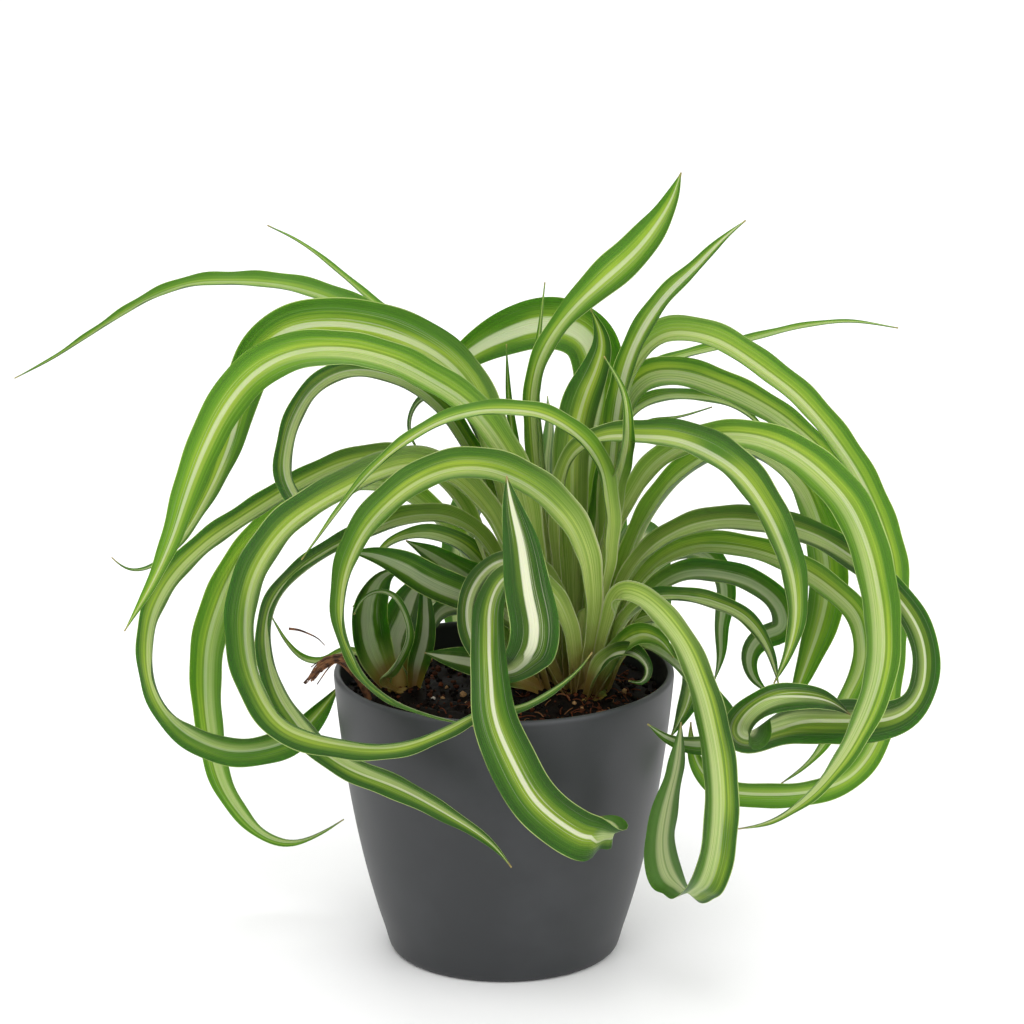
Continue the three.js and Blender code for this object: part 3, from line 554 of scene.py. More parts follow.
FRESH_GREEN = srgb(106, 146, 34)
MID_GREEN = srgb(68, 108, 20)
DARK_GREEN = srgb(36, 66, 12)
YELLOW_GREEN = srgb(146, 166, 50)
CREAM = srgb(204, 206, 178)
# The inner half as painted light pales it, and its darker lines.
LIT_HALF = srgb(172, 184, 122)
LIT_HALF_LINE = srgb(124, 150, 72)
# The crease's painted shade, beside the inner half that painted light pales.
CREASE_SHADE = srgb(66, 102, 28)
MARGIN_LINE = srgb(176, 192, 122)
SHEATH_GREEN = srgb(190, 204, 118)
SHEATH_LINE = srgb(134, 164, 66)
DRY_TIP = srgb(150, 126, 78)
UNDER_GREEN = srgb(84, 118, 52)
UNDER_CREAM = srgb(198, 202, 152)
BASE_BROWN = srgb(122, 84, 38)

# The heart of the plant, in metres, painted pale: partly the blanched colour that the leaves
# have there, partly painted light for the light that shines through them.
HEART = (0.0265, 0.001, 0.0)
LEVEL = (1.0, 1.0, 0.0)


class LeafPattern:
    """The bands, streaks and veins that every leaf shares, as one node group.

    Across runs from 0 on the outside of the leaf's arch to 1 on its inside, and Along from 0 at
    the root to 1 at the tip. The fourth input is how far painted light pales the inner half, and
    Depth how dark the green.
    The place across is -1 on the outer margin, 0 on the midrib and 1 on the inner margin, and
    the edge is the same without its sign.
    """

    INPUTS = (
        "Across", "Along", "Underside", "Lit Half", "Stripe Width", "Stripe Strength", "Yellow",
        "Depth", "Seed",
    )
    OUTPUTS = {
        "Color": "NodeSocketColor",
        "Sheath Color": "NodeSocketColor",
        "Height": "NodeSocketFloat",
        "Roughness": "NodeSocketFloat",
    }

    # Streaks, as features across and along the leaf.
    FINE_STREAKS = (58.0, 3.0)
    BROAD_STREAKS = (15.0, 3.5)
    SLOW_WANDER = (2.0, 8.0)
    STREAK_DETAIL = 1.5
    SEED_STEP = 37.0

    # Relief and gloss.
    VEINS = 26.0
    VEIN_HEIGHT = 0.3
    GLOSS_SPREAD = 0.18
    SMOOTHEST = 0.34
    UNDERSIDE_ROUGHER = 0.1

    # The green: how much each cause darkens it, and its shades.
    SIDES = Fade(0.4, 1.0, 0.45)
    BROAD_SHARE = 0.5
    FINE_SHARE = 0.4
    DEPTH_SHARE = 1.1
    DEPTH_START = -0.6
    GREENS = ((0.0, FRESH_GREEN), (0.45, MID_GREEN), (1.0, DARK_GREEN))

    # The cream stripe and the yellow-green zone round it.
    SHIFT = 0.34
    STRAY = 0.14
    NARROWING = 0.6
    STRIPE_BLUR = 0.04
    STRIPE_CORE = 0.75
    STRIPE_LOSS = 0.45
    STRIPE_STREAKS = -0.5
    STRIPE_FULL = 1.2
    ZONE_REACH = 0.48
    ZONE_RAGGED = 0.5
    ZONE_GAPS = Fade(0.25, 0.6)

    # The inner half that painted light pales, the painted shade of the crease beside it, the hair
    # lines and the margin's line.
    INNER_FROM_STRIPE = Fade(-0.02, 0.12, 0.9)
    INNER_TO_MARGIN = Fade(0.5, 0.1)
    INNER_LINES = Fade(0.42, 0.66)
    CREASE_PLACE = 0.13
    CREASE = Fade(0.07, 0.02, 0.65)
    HAIR_LINES = Fade(0.60, 0.70, 0.5)
    HAIR_LINE_PLACE = Fade(0.9, 0.3)
    MARGIN = Fade(0.955, 0.99, 0.7)
    MARGIN_GAPS = Fade(0.35, 0.6)

    # The underside.
    UNDER_DEPTH = 0.55
    GLOW_RAGGED = 0.3
    GLOW_REACH = 0.45
    GLOW_CORE = 0.1
    GLOW_BY_STRIPE = 0.6
    GLOW_LEAST = 0.35
    UNDER_LINES = Fade(0.52, 0.7, 0.3)
    UNDER_RIM = Fade(0.6, 0.95, 0.55)
    KEEL = Fade(0.06, 0.02, 0.5)

    # The sheath, the dry tip, and how far a deep green leaf keeps its sheath green.
    SHEATH = Fade(0.44, 0.06, 0.86)
    SHEATH_BY_DEPTH = Fade(1.15, 0.6)
    SHEATH_VEINS = Fade(0.40, 0.62, 0.8)
    SHEATH_BAND_OUT = Fade(0.45, 0.75, 0.45)
    SHEATH_BAND_IN = Fade(0.95, 0.85)
    SHEATH_MARGIN = Fade(0.9, 0.97, 0.5)
    DRY_END = Fade(0.985, 1.0, 0.8)

    def __init__(self) -> None:
        """Builds the group."""
        nodes, given, result = new_group("leaf_pattern", self.INPUTS, self.OUTPUTS)
        self.group, self.nodes, self.take = nodes.tree, nodes, given.outputs
        self.place = nodes.scale(self.take["Across"], 2.0, -1.0)
        self.edge = nodes.math("ABSOLUTE", self.place)
        self.fine = self.streaks(*self.FINE_STREAKS)
        self.broad = self.streaks(*self.BROAD_STREAKS)
        self.wander = self.streaks(*self.SLOW_WANDER)
        # Painted light pales the inner half, and moves and narrows the stripe towards the outer
        # half.
        lit_half = self.take["Lit Half"]
        self.centre = nodes.scale(lit_half, self.SHIFT, self.place)
        stray = nodes.scale(self.wander, self.STRAY, -self.STRAY / 2)
        self.near = nodes.math("ABSOLUTE", nodes.math("ADD", self.centre, stray))
        narrowing = nodes.scale(lit_half, -self.NARROWING, 1.0)
        self.width = nodes.both(self.take["Stripe Width"], narrowing)
        sheath = self.sheath()
        values = {
            "Color": self.whole_leaf(sheath),
            "Sheath Color": sheath,
            "Height": self.relief(),
            "Roughness": self.roughness(),
        }
        for title, value in values.items():
            nodes.feed(result.inputs[title], value)

    def streaks(self, across: float, along: float) -> Socket:
        """Gives noise drawn out along the leaf.

        Args:
            across: How many features it has across the leaf.
            along: How many it has along the leaf.

        Returns:
            The noise, from 0 to 1.
        """
        nodes, take = self.nodes, self.take
        seed = nodes.scale(take["Seed"], self.SEED_STEP)
        place = nodes.vector(
            nodes.scale(take["Across"], across), nodes.scale(take["Along"], along), seed
        )
        return nodes.noise(place, 1.0, self.STREAK_DETAIL)

    def layered(self, colour: Link, layers: tuple[tuple[Link, Link], ...]) -> Socket:
        """Lays colours over a colour.

        Args:
            colour: The colour below.
            layers: The masks and the colours that they let through, in order.

        Returns:
            The colour on top.
        """
        for mask, shade in layers:
            colour = self.nodes.mix(mask, colour, shade)
        return colour

    def whole_leaf(self, sheath: Socket) -> Socket:
        """Puts the two faces, the sheath and the dry tip together.

        Args:
            sheath: The sheath's colour.

        Returns:
            The leaf's colour.
        """
        nodes, take = self.nodes, self.take
        fades = (take["Along"], self.SHEATH), (take["Depth"], self.SHEATH_BY_DEPTH)
        layers = (
            (take["Underside"], self.lower_face()),
            (nodes.faded(*fades), sheath),
            (nodes.fade(take["Along"], self.DRY_END), DRY_TIP),
        )
        return self.layered(self.upper_face(), layers)

    def relief(self) -> Socket:
        """Gives the height of the veins and streaks."""
        nodes = self.nodes
        turns = nodes.scale(self.take["Across"], self.VEINS * 2 * math.pi)
        return nodes.scale(nodes.math("SINE", turns), self.VEIN_HEIGHT, self.fine)

    def roughness(self) -> Socket:
        """Gives the roughness, streaked and greater below."""
        upper = self.nodes.scale(self.broad, self.GLOSS_SPREAD, self.SMOOTHEST)
        return self.nodes.scale(self.take["Underside"], self.UNDERSIDE_ROUGHER, upper)

    def green(self) -> Socket:
        """Colours the green of the upper face, darker towards the margins.

        Returns:
            The colour.
        """
        nodes = self.nodes
        shade = nodes.scale(self.take["Depth"], self.DEPTH_SHARE, self.DEPTH_START)
        shade = nodes.scale(self.broad, self.BROAD_SHARE, shade)
        shade = nodes.scale(self.fine, self.FINE_SHARE, shade)
        shade = nodes.math("ADD", shade, nodes.fade(self.edge, self.SIDES))
        return nodes.shades(shade, self.GREENS)

    def yellow_zone(self) -> Socket:
        """Masks the yellow-green zone round the stripe.

        Returns:
            The mask.
        """
        nodes = self.nodes
        ragged = nodes.scale(self.broad, self.ZONE_RAGGED, -self.ZONE_RAGGED / 2)
        loose = nodes.math("ADD", self.near, ragged)
        zone = nodes.ramp(loose, nodes.math("ADD", self.width, self.ZONE_REACH), self.width)
        return nodes.both(zone, self.take["Yellow"], nodes.fade(self.wander, self.ZONE_GAPS))

    def lit_inner_half(self) -> Socket:
        """Masks the inner half that painted light pales."""
        fades = (self.centre, self.INNER_FROM_STRIPE), (self.place, self.INNER_TO_MARGIN)
        return self.nodes.both(self.take["Lit Half"], self.nodes.faded(*fades))

    def hair_lines(self) -> Socket:
        """Masks the hair-thin cream lines."""
        fades = (self.fine, self.HAIR_LINES), (self.edge, self.HAIR_LINE_PLACE)
        return self.nodes.both(self.take["Stripe Strength"], self.nodes.faded(*fades))

    def stripe(self) -> Socket:
        """Masks the cream stripe.

        Returns:
            The mask.
        """
        nodes, width = self.nodes, self.width
        rim = nodes.math("ADD", width, self.STRIPE_BLUR)
        core = nodes.ramp(self.near, rim, nodes.scale(width, self.STRIPE_CORE))
        kept = nodes.scale(self.take["Lit Half"], -self.STRIPE_LOSS, 1.0)
        streaked = nodes.scale(self.fine, self.STRIPE_STREAKS, self.STRIPE_FULL)
        return nodes.both(core, self.take["Stripe Strength"], kept, streaked)

    def crease_shade(self) -> Socket:
        """Masks the thin painted shade of the crease beside the stripe, where the inner half is lit.
        """
        apart = self.nodes.math("ABSOLUTE", self.nodes.math("ADD", self.centre, self.CREASE_PLACE))
        return self.nodes.both(self.take["Lit Half"], self.nodes.fade(apart, self.CREASE))

    def margin(self) -> Socket:
        """Masks the pale line along the margin, which comes and goes."""
        return self.nodes.faded((self.edge, self.MARGIN), (self.wander, self.MARGIN_GAPS))

    def upper_face(self) -> Socket:
        """Colours the upper face.

        Returns:
            The colour.
        """
        pale = self.nodes.mix(self.nodes.fade(self.fine, self.INNER_LINES), LIT_HALF, LIT_HALF_LINE)
        layers = (
            (self.yellow_zone(), YELLOW_GREEN),
            (self.lit_inner_half(), pale),
            (self.hair_lines(), CREAM),
            (self.stripe(), CREAM),
            (self.crease_shade(), CREASE_SHADE),
            (self.margin(), MARGIN_LINE),
        )
        return self.layered(self.green(), layers)

    def sheath(self) -> Socket:
        """Colours the sheath: blanched, with darker veins and pale margins.

        Returns:
            The colour.
        """
        fades = (self.edge, self.SHEATH_BAND_OUT), (self.edge, self.SHEATH_BAND_IN)
        layers = (
            (self.nodes.fade(self.fine, self.SHEATH_VEINS), SHEATH_LINE),
            (self.nodes.faded(*fades), SHEATH_LINE),
            (self.nodes.fade(self.edge, self.SHEATH_MARGIN), CREAM),
        )
        return self.layered(SHEATH_GREEN, layers)

    def lower_face(self) -> Socket:
        """Colours the underside: paler and greyer, with the stripe showing through widely.

        Returns:
            The colour.
        """
        nodes, take = self.nodes, self.take
        width = take["Stripe Width"]
        ragged = nodes.scale(self.broad, self.GLOW_RAGGED, -self.GLOW_RAGGED / 2)
        loose = nodes.math("ADD", self.edge, ragged)
        rim = nodes.math("ADD", width, self.GLOW_REACH)
        glow = nodes.ramp(loose, rim, nodes.math("ADD", width, self.GLOW_CORE))
        strength = nodes.scale(take["Stripe Strength"], self.GLOW_BY_STRIPE, self.GLOW_LEAST)
        layers = (
            (nodes.scale(take["Depth"], self.UNDER_DEPTH), DARK_GREEN),
            (nodes.both(glow, strength), UNDER_CREAM),
            (nodes.fade(self.fine, self.UNDER_LINES), UNDER_GREEN),
            (nodes.fade(self.edge, self.UNDER_RIM), DARK_GREEN),
            (nodes.fade(self.edge, self.KEEL), MID_GREEN),
        )
        return self.layered(UNDER_GREEN, layers)


@dataclass(frozen=True)
class LeafFinish:
    """The satin skin of a living leaf."""

    name: str
    stripe_width: float
    stripe_strength: float
    yellow: float
    depth: float
    # How far painted light may pale the inner half, as a share.
    lit_half: float = 1.0
    depth_range: float = 0.4
    foot_height: Fade = Fade(0.152, 0.120, 0.85)
    foot_share: Fade = Fade(0.3, 0.12)
    foot_patches: float = 180.0
    foot_ragged: float = 0.016
    heart_reach: Fade = Fade(0.036, 0.020, 0.6)
    heart_height: Fade = Fade(0.235, 0.170)
    bump: Span = (0.35, 0.0003)
    specular: float = 0.17
    glow: float = 0.3
    glow_radius: Point = (0.6, 1.0, 0.25)
    glow_scale: float = 0.002

    def build(self, pattern: LeafPattern) -> Material:
        """Makes the material.

        Args:
            pattern: The leaf pattern that it fills in with its own values.

        Returns:
            The material.
        """
        material, nodes, shader = new_material(self.name)
        blade = nodes.split(nodes.add("ShaderNodeUVMap", uv_map="blade").outputs[0])
        tone = nodes.attribute("tone")
        bands = nodes.add("ShaderNodeGroup", node_tree=pattern.group)
        values = {
            "Across": blade[0],
            "Along": blade[1],
            "Underside": nodes.attribute("underside"),
            # Painted light pales the inner half as far as each vertex and the finish say.
            "Lit Half": nodes.scale(nodes.attribute("lit_half"), self.lit_half),
            "Stripe Width": self.stripe_width,
            "Stripe Strength": self.stripe_strength,
            "Yellow": self.yellow,
            "Depth": nodes.scale(tone, self.depth_range, self.depth - self.depth_range / 2),
            "Seed": tone,
        }
        for title, value in values.items():
            nodes.feed(bands.inputs[title], value)
        where = nodes.where()
        height = nodes.split(where)[2]
        colour, sheath = bands.outputs["Color"], bands.outputs["Sheath Color"]
        # The heart is painted pale: partly blanched leaves, partly painted light shining through
        # them.
        colour = nodes.mix(self.heart(nodes, where, height), colour, sheath)
        colour = nodes.mix(self.foot(nodes, where, height, blade[1]), colour, BASE_BROWN)
        nodes.feed(shader.inputs["Base Color"], colour)
        nodes.feed(shader.inputs["Roughness"], bands.outputs["Roughness"])
        nodes.feed(shader.inputs["Normal"], nodes.bump(bands.outputs["Height"], *self.bump))
        shader.inputs["Specular IOR Level"].default_value = self.specular
        shader.inputs["Subsurface Weight"].default_value = self.glow
        shader.inputs["Subsurface Radius"].default_value = self.glow_radius
        shader.inputs["Subsurface Scale"].default_value = self.glow_scale
        return material

    def heart(self, nodes: Nodes, where: Link, height: Link) -> Socket:
        """Masks the pale heart of the plant: partly blanched leaves, partly painted light.

        Args:
            nodes: The material's tree builder.
            where: The place on the plant, in metres.
            height: The height above the pot's foot, in metres.

        Returns:
            The mask.
        """
        kind = "ShaderNodeVectorMath"
        apart = nodes.add(kind, {0: where, 1: HEART}, operation="SUBTRACT").outputs[0]
        level = nodes.add(kind, {0: apart, 1: LEVEL}, operation="MULTIPLY").outputs[0]
        reach = nodes.add(kind, {0: level}, operation="LENGTH").outputs["Value"]
        return nodes.faded((reach, self.heart_reach), (height, self.heart_height))

    def foot(self, nodes: Nodes, where: Link, height: Link, along: Link) -> Socket:
        """Masks the brown foot of the sheath.

        Args:
            nodes: The material's tree builder.
            where: The place on the plant, in metres.
            height: The height above the pot's foot, in metres.
            along: The share of the leaf's length.

        Returns:
            The mask.
        """
        patches = nodes.noise(where, self.foot_patches, 2.0)
        patchy = nodes.scale(patches, self.foot_ragged, height)
        return nodes.faded((patchy, self.foot_height), (along, self.foot_share))


LEAF_FINISHES = {
    Look.FRESH: LeafFinish(
        "leaf_fresh", stripe_width=0.12, stripe_strength=0.6, yellow=0.9, depth=0.42
    ),
    Look.PLAIN: LeafFinish(
        "leaf_plain", stripe_width=0.08, stripe_strength=0.3, yellow=0.5, depth=0.44
    ),
    Look.RICH: LeafFinish(
        "leaf_rich", stripe_width=0.08, stripe_strength=0.42, yellow=1.0, depth=0.66
    ),
    Look.PALE: LeafFinish(
        "leaf_pale", stripe_width=0.30, stripe_strength=0.75, yellow=0.6, depth=0.56, lit_half=0.3
    ),
    Look.STRIPED: LeafFinish(
        "leaf_striped", stripe_width=0.08, stripe_strength=0.85, yellow=0.55, depth=0.76
    ),
    Look.BOLD: LeafFinish(
        "leaf_bold", stripe_width=0.20, stripe_strength=1.0, yellow=0.2, depth=0.84, lit_half=0.8
    ),
    # Deep green, darker than the rest; on the low, hidden and back leaves and the offset crown it
    # also paints their shade.
    Look.DEEP_SHADED: LeafFinish(
        "leaf_deep_shaded", stripe_width=0.36, stripe_strength=0.5, yellow=0.1, depth=0.86, lit_half=0.35
    ),
}


@dataclass(frozen=True)
class PotFinish:
    """Matte anthracite plastic with a soft sheen and a fine moulded grain.

    Its lighter colour is dust in the clouds and a painted highlight along the top of the lip.
    """

    colour: Colour = srgb(40, 42, 44)
    dust_and_highlight: Colour = srgb(70, 72, 75)
    clouds: Span = (22.0, 4.0)
    grain: Span = (1600.0, 2.0)
    dust: Fade = Fade(0.45, 0.75, 0.25)
    # A painted highlight along the top of the lip, with heights in metres.
    rim: Fade = Fade(0.1175, 0.1195, 0.45)
    smoothest: float = 0.39
    gloss_spread: float = 0.14
    bump: Span = (0.12, 0.0002)
    specular: float = 0.45

    def build(self) -> Material:
        """Makes the material.

        Returns:
            The material.
        """
        material, nodes, shader = new_material("pot_plastic")
        where = nodes.where()
        clouds = nodes.noise(where, *self.clouds)
        colour = nodes.mix(nodes.fade(clouds, self.dust), self.colour, self.dust_and_highlight)
        # The painted highlight along the lip, in the lighter colour.
        rim = nodes.fade(nodes.split(where)[2], self.rim)
        nodes.feed(shader.inputs["Base Color"], nodes.mix(rim, colour, self.dust_and_highlight))
        rough = nodes.scale(clouds, self.gloss_spread, self.smoothest)
        nodes.feed(shader.inputs["Roughness"], rough)
        normal = nodes.bump(nodes.noise(where, *self.grain), *self.bump)
        nodes.feed(shader.inputs["Normal"], normal)
        shader.inputs["Specular IOR Level"].default_value = self.specular
        return material


@dataclass(frozen=True)
class MottledFinish:
    """A dull, mottled stuff, tinted by the shade that each crumb, chip or fibre has."""

    name: str
    dark: Colour
    light: Colour
    mottle: Span
    mottling: Fade
    smoothest: float
    bump: Span
    specular: float
    gloss_spread: float = 0.3
    tints: tuple[tuple[Fade, Colour], ...] = ()

    def build(self) -> Material:
        """Makes the material.

        Returns:
            The material.
        """
        material, nodes, shader = new_material(self.name)
        mottle = nodes.noise(nodes.where(), *self.mottle)
        colour = nodes.mix(nodes.fade(mottle, self.mottling), self.dark, self.light)
        for fade, tint in self.tints:
            colour = nodes.mix(nodes.fade(nodes.attribute("shade"), fade), colour, tint)
        nodes.feed(shader.inputs["Base Color"], colour)
        rough = nodes.scale(mottle, self.gloss_spread, self.smoothest)
        nodes.feed(shader.inputs["Roughness"], rough)
        nodes.feed(shader.inputs["Normal"], nodes.bump(mottle, *self.bump))
        shader.inputs["Specular IOR Level"].default_value = self.specular
        return material


DAMP_PEAT = MottledFinish(
    "potting_soil", dark=srgb(9, 6, 5), light=srgb(26, 17, 11), mottle=(420.0, 4.0),
    mottling=Fade(0.35, 0.7), smoothest=0.62, bump=(0.6, 0.0006), specular=0.12,
    tints=(
        (Fade(0.3, 0.6), srgb(92, 48, 26)),
        (Fade(0.68, 0.8), srgb(164, 128, 88)),
        (Fade(0.9, 0.97), srgb(222, 214, 198)),
    ),
)
DRY_ROOTS = MottledFinish(
    "dry_roots", dark=srgb(62, 38, 24), light=srgb(132, 88, 54), mottle=(350.0, 3.0),
    mottling=Fade(0.35, 0.65), smoothest=0.68, bump=(0.5, 0.0004), specular=0.5,
)


# ---------- the leaves' shape


def seen(point: Point) -> np.ndarray:
    """Finds a route point's place in the plant's own frame.

    Args:
        point: The point as (across, up, depth).

    Returns:
        Its place in millimetres.
    """
    across, up, depth = point
    on_plane = np.array((across, up * math.sin(EYE_PITCH), up * math.cos(EYE_PITCH)))
    reach = (depth - EYE[1]) / (on_plane[1] - EYE[1])
    return EYE + (on_plane - EYE) * reach


def keyed(keys: Keys, share: np.ndarray) -> np.ndarray:
    """Reads keys at shares of a length, easing from each key to the next.

    Args:
        keys: The keys, as (share, value).
        share: The shares to read at.

    Returns:
        The values.
    """
    shares, values = np.array(keys, dtype=float).T
    after = np.clip(np.searchsorted(shares, share), 1, len(shares) - 1)
    part = np.clip((share - shares[after - 1]) / (shares[after] - shares[after - 1]), 0, 1)
    return values[after - 1] + (values[after] - values[after - 1]) * part**2 * (3 - 2 * part)


def unit(rows: np.ndarray) -> np.ndarray:
    """Scales each row to length 1."""
    return rows / np.linalg.norm(rows, axis=-1, keepdims=True)


def square_to(rows: np.ndarray, along: np.ndarray) -> np.ndarray:
    """Turns each row square to a direction, and scales it to length 1."""
    return unit(rows - along * np.sum(rows * along, axis=1, keepdims=True))


def eased(rows: np.ndarray, passes: int) -> np.ndarray:
    """Evens out rows along their order, with the first and the last one held.

    Args:
        rows: The rows.
        passes: How many times each row is drawn towards its neighbours.

    Returns:
        The evened rows.
    """
    rows = rows.copy()
    for _ in range(passes):
        rows[1:-1] = (rows[:-2] + 2 * rows[1:-1] + rows[2:]) / 4
    return rows


class Route:
    """A smooth curve through given points, read by shares of its length."""

    SAMPLES = 200
    SPACING = 1.0
    LEAST_POINTS = 24
    LENGTH_PER_PASS = 9.0
    # A quarter power of the squared distance makes the curve a centripetal one, free of loops.
    KNOT_POWER = 0.25

    def __init__(self, route: tuple[Point, ...]) -> None:
        """Draws the curve and eases it a little.

        Args:
            route: The points that it runs through, as they are seen.
        """
        points = np.array([seen(point) for point in route])
        first, last = 2 * points[0] - points[1], 2 * points[-1] - points[-2]
        self.corners = np.vstack((first, points, last))
        samples = np.linspace(0, 1, self.SAMPLES + 1)
        marks = self.measure(self.spline(samples))
        count = max(self.LEAST_POINTS, round(marks[-1] / self.SPACING))
        even = np.interp(np.linspace(0, marks[-1], count), marks, samples)
        self.line = eased(self.spline(even), round(marks[-1] / self.LENGTH_PER_PASS))
        self.length = self.measure(self.line)[-1]
        self.shares = self.measure(self.line) / self.length
        self.slopes = unit(np.gradient(self.line, axis=0))

    def spline(self, t: np.ndarray) -> np.ndarray:
        """Evaluates the curve through the corners.

        Args:
            t: Parameters from 0 to 1.

        Returns:
            A point for each parameter.
        """
        stretches = len(self.corners) - 3
        place = t * stretches
        start = np.minimum(place.astype(int), stretches - 1)
        w = (place - start)[:, None]
        p0, p1, p2, p3 = (self.corners[start + k] for k in range(4))
        d0, d1, d2 = (
            np.sum((b - a) ** 2, axis=1, keepdims=True) ** self.KNOT_POWER
            for a, b in ((p0, p1), (p1, p2), (p2, p3))
        )
        m1 = ((p1 - p0) / d0 - (p2 - p0) / (d0 + d1) + (p2 - p1) / d1) * d1
        m2 = ((p2 - p1) / d1 - (p3 - p1) / (d1 + d2) + (p3 - p2) / d2) * d1
        return p1 + w * (m1 + w * (3 * (p2 - p1) - 2 * m1 - m2 + w * (2 * (p1 - p2) + m1 + m2)))

    @staticmethod
    def measure(line: np.ndarray) -> np.ndarray:
        """Gives the length along a line up to each of its points."""
        return np.concatenate(([0], np.cumsum(np.linalg.norm(np.diff(line, axis=0), axis=1))))

    def read(self, rows: np.ndarray, share: np.ndarray) -> np.ndarray:
        """Reads rows that lie along the curve at shares of its length."""
        return np.stack([np.interp(share, self.shares, rows[:, k]) for k in range(3)], axis=1)

    def point(self, share: np.ndarray) -> np.ndarray:
        """Gives points on the curve; a share below 0 runs straight on from its start."""
        straight = np.minimum(share, 0)[:, None] * self.length * self.slopes[0]
        return self.read(self.line, share) + straight

    def slope(self, share: np.ndarray) -> np.ndarray:
        """Gives the direction of the curve at shares of its length."""
        return unit(self.read(self.slopes, share))


@dataclass
class Blade:
    """The surface of one leaf, from its root to its tip."""

    leaf: Leaf
    tone: float
    faces_across: int = 14
    row_spacing: float = 1.8
    least_rows: int = 4
    thickness: float = 0.45
    thin_margin: float = 0.35
    thinning_power: float = 3.0
    keel: float = 0.22
    keel_end: float = 1.1
    tip_half_width: float = 0.25
    cup_power: float = 1.35
    openness: float = 0.8
    ripple: float = 0.3
    ripple_length: float = 21.0
    ripple_turns: float = 40.0
    ripple_full_width: float = 4.0
    ripple_full_share: float = 0.25
    # Face angles, in degrees, over which painted light comes to pale the inner half.
    lit_half_from: float = 18.0
    lit_half_to: float = 48.0
    ease_passes: int = 14
    lap: float = 0.3
    rooting_depth: float = 2.0
    sharp: float = 50.0
    route: Route = field(init=False)
    normals: np.ndarray = field(init=False)
    shifts: np.ndarray = field(init=False)

    def __post_init__(self) -> None:
        """Draws the leaf's route, and finds which way the blade faces along it.

        The blade is shifted sideways so that its seen outline keeps centred on the route.
        """
        self.route = Route(self.leaf.route)
        along, shares = self.route.slopes, self.route.shares
        facing = square_to(unit(EYE - self.route.line), along)
        sideways = np.cross(along, facing)
        turn = np.radians(keyed(self.leaf.face, shares)) * self.leaf.arch.value
        half, rise = self.half_width(shares), self.rise(shares)
        lean = half * np.sin(rise) * np.sin(turn)
        reach = half * np.cos(rise) * np.cos(turn)
        edges = np.stack((lean - reach, np.zeros_like(lean), lean + reach))
        shift = -(edges.max(axis=0) + edges.min(axis=0)) / 2
        normals = facing * np.cos(turn)[:, None] + sideways * np.sin(turn)[:, None]
        self.normals = eased(normals, self.ease_passes)
        self.shifts = eased(sideways * shift[:, None], self.ease_passes)

    def half_width(self, share: np.ndarray) -> np.ndarray:
        """Gives half the width of the blade laid flat.

        Args:
            share: Shares of the leaf's length.

        Returns:
            The half width at each, in millimetres.
        """
        leaf = self.leaf
        over = np.clip((share - leaf.taper_from) / (1 - leaf.taper_from), 0, 1)
        full = leaf.width / 2 * keyed(leaf.spread, share)
        return np.maximum(self.tip_half_width, full * (1 - over**leaf.taper_power))

    def rise(self, share: np.ndarray) -> np.ndarray:
        """Gives the angle by which the two halves of the blade rise from flat."""
        fold = self.leaf.fold
        return np.radians(fold[0] + (fold[1] - fold[0]) * share) * self.openness

    def waves(self, share: np.ndarray, side: np.ndarray) -> np.ndarray:
        """Gives the height of the ripples, which are strongest at the margins.

        Args:
            share: Shares of the leaf's length.
            side: -1 at the left margin, 0 on the midrib and 1 at the right margin.

        Returns:
            The height at each point, in millimetres.
        """
        turns = share * self.route.length / self.ripple_length * 2 * math.pi
        wave = np.sin(turns + self.ripple_turns * self.tone + side)
        by_width = np.clip(self.half_width(np.clip(share, 0, 1)) / self.ripple_full_width, 0, 1)
        by_share = np.clip(share / self.ripple_full_share, 0, 1)
        return self.ripple * wave * by_width * by_share * side**2

    def surface(self, share: np.ndarray, side: np.ndarray) -> np.ndarray:
        """Places points on the upper face.

        Args:
            share: Shares of the leaf's length; below 0 lies in the rootstock.
            side: -1 at the left margin, 0 on the midrib and 1 at the right margin.

        Returns:
            The points in millimetres, one row each.
        """
        route, held = self.route, np.clip(share, 0, 1)
        along = route.slope(share)
        normal = square_to(route.read(self.normals, share), along)
        across = np.cross(along, normal)
        half, rise = self.half_width(held), self.rise(held)
        cup = np.abs(side) ** self.cup_power * half * np.sin(rise)
        height = cup + self.waves(share, side)
        flat = side * half * np.cos(rise)
        middle = route.point(share) + route.read(self.shifts, share)
        return middle + across * flat[:, None] + normal * height[:, None]

    def strip(self, name: str, start: float, end: float) -> Piece:
        """Makes the stretch of the leaf between two shares of its length.

        A flat grid is laid along the route, gets its thickness with thin margins, and a keel
        below.

        Args:
            name: The name of the piece.
            start: The share where it starts.
            end: The share where it ends.

        Returns:
            The piece, in metres.
        """
        length = (end - start) * self.route.length
        rows = max(self.least_rows, round(length / self.row_spacing))
        clear_selection()
        bpy.ops.mesh.primitive_grid_add(
            x_subdivisions=self.faces_across, y_subdivisions=rows, size=1
        )
        piece = bpy.context.object
        rename(piece, name)
        flat = get_points(piece)
        side = 2 * flat[:, 0]
        share = start + (end - start) * (flat[:, 1] + 0.5)
        set_points(piece, self.surface(share, side) * MM)
        self.write_uv(piece, share, side)
        self.thicken(piece, side)
        self.draw_keel(piece, share, side)
        set_attribute(piece, "underside", np.repeat((0.0, 1.0), len(side)))
        set_attribute(piece, "tone", self.tone)
        set_attribute(piece, "lit_half", np.tile(self.lit_half(share), 2))
        smooth(piece, self.sharp)
        return piece

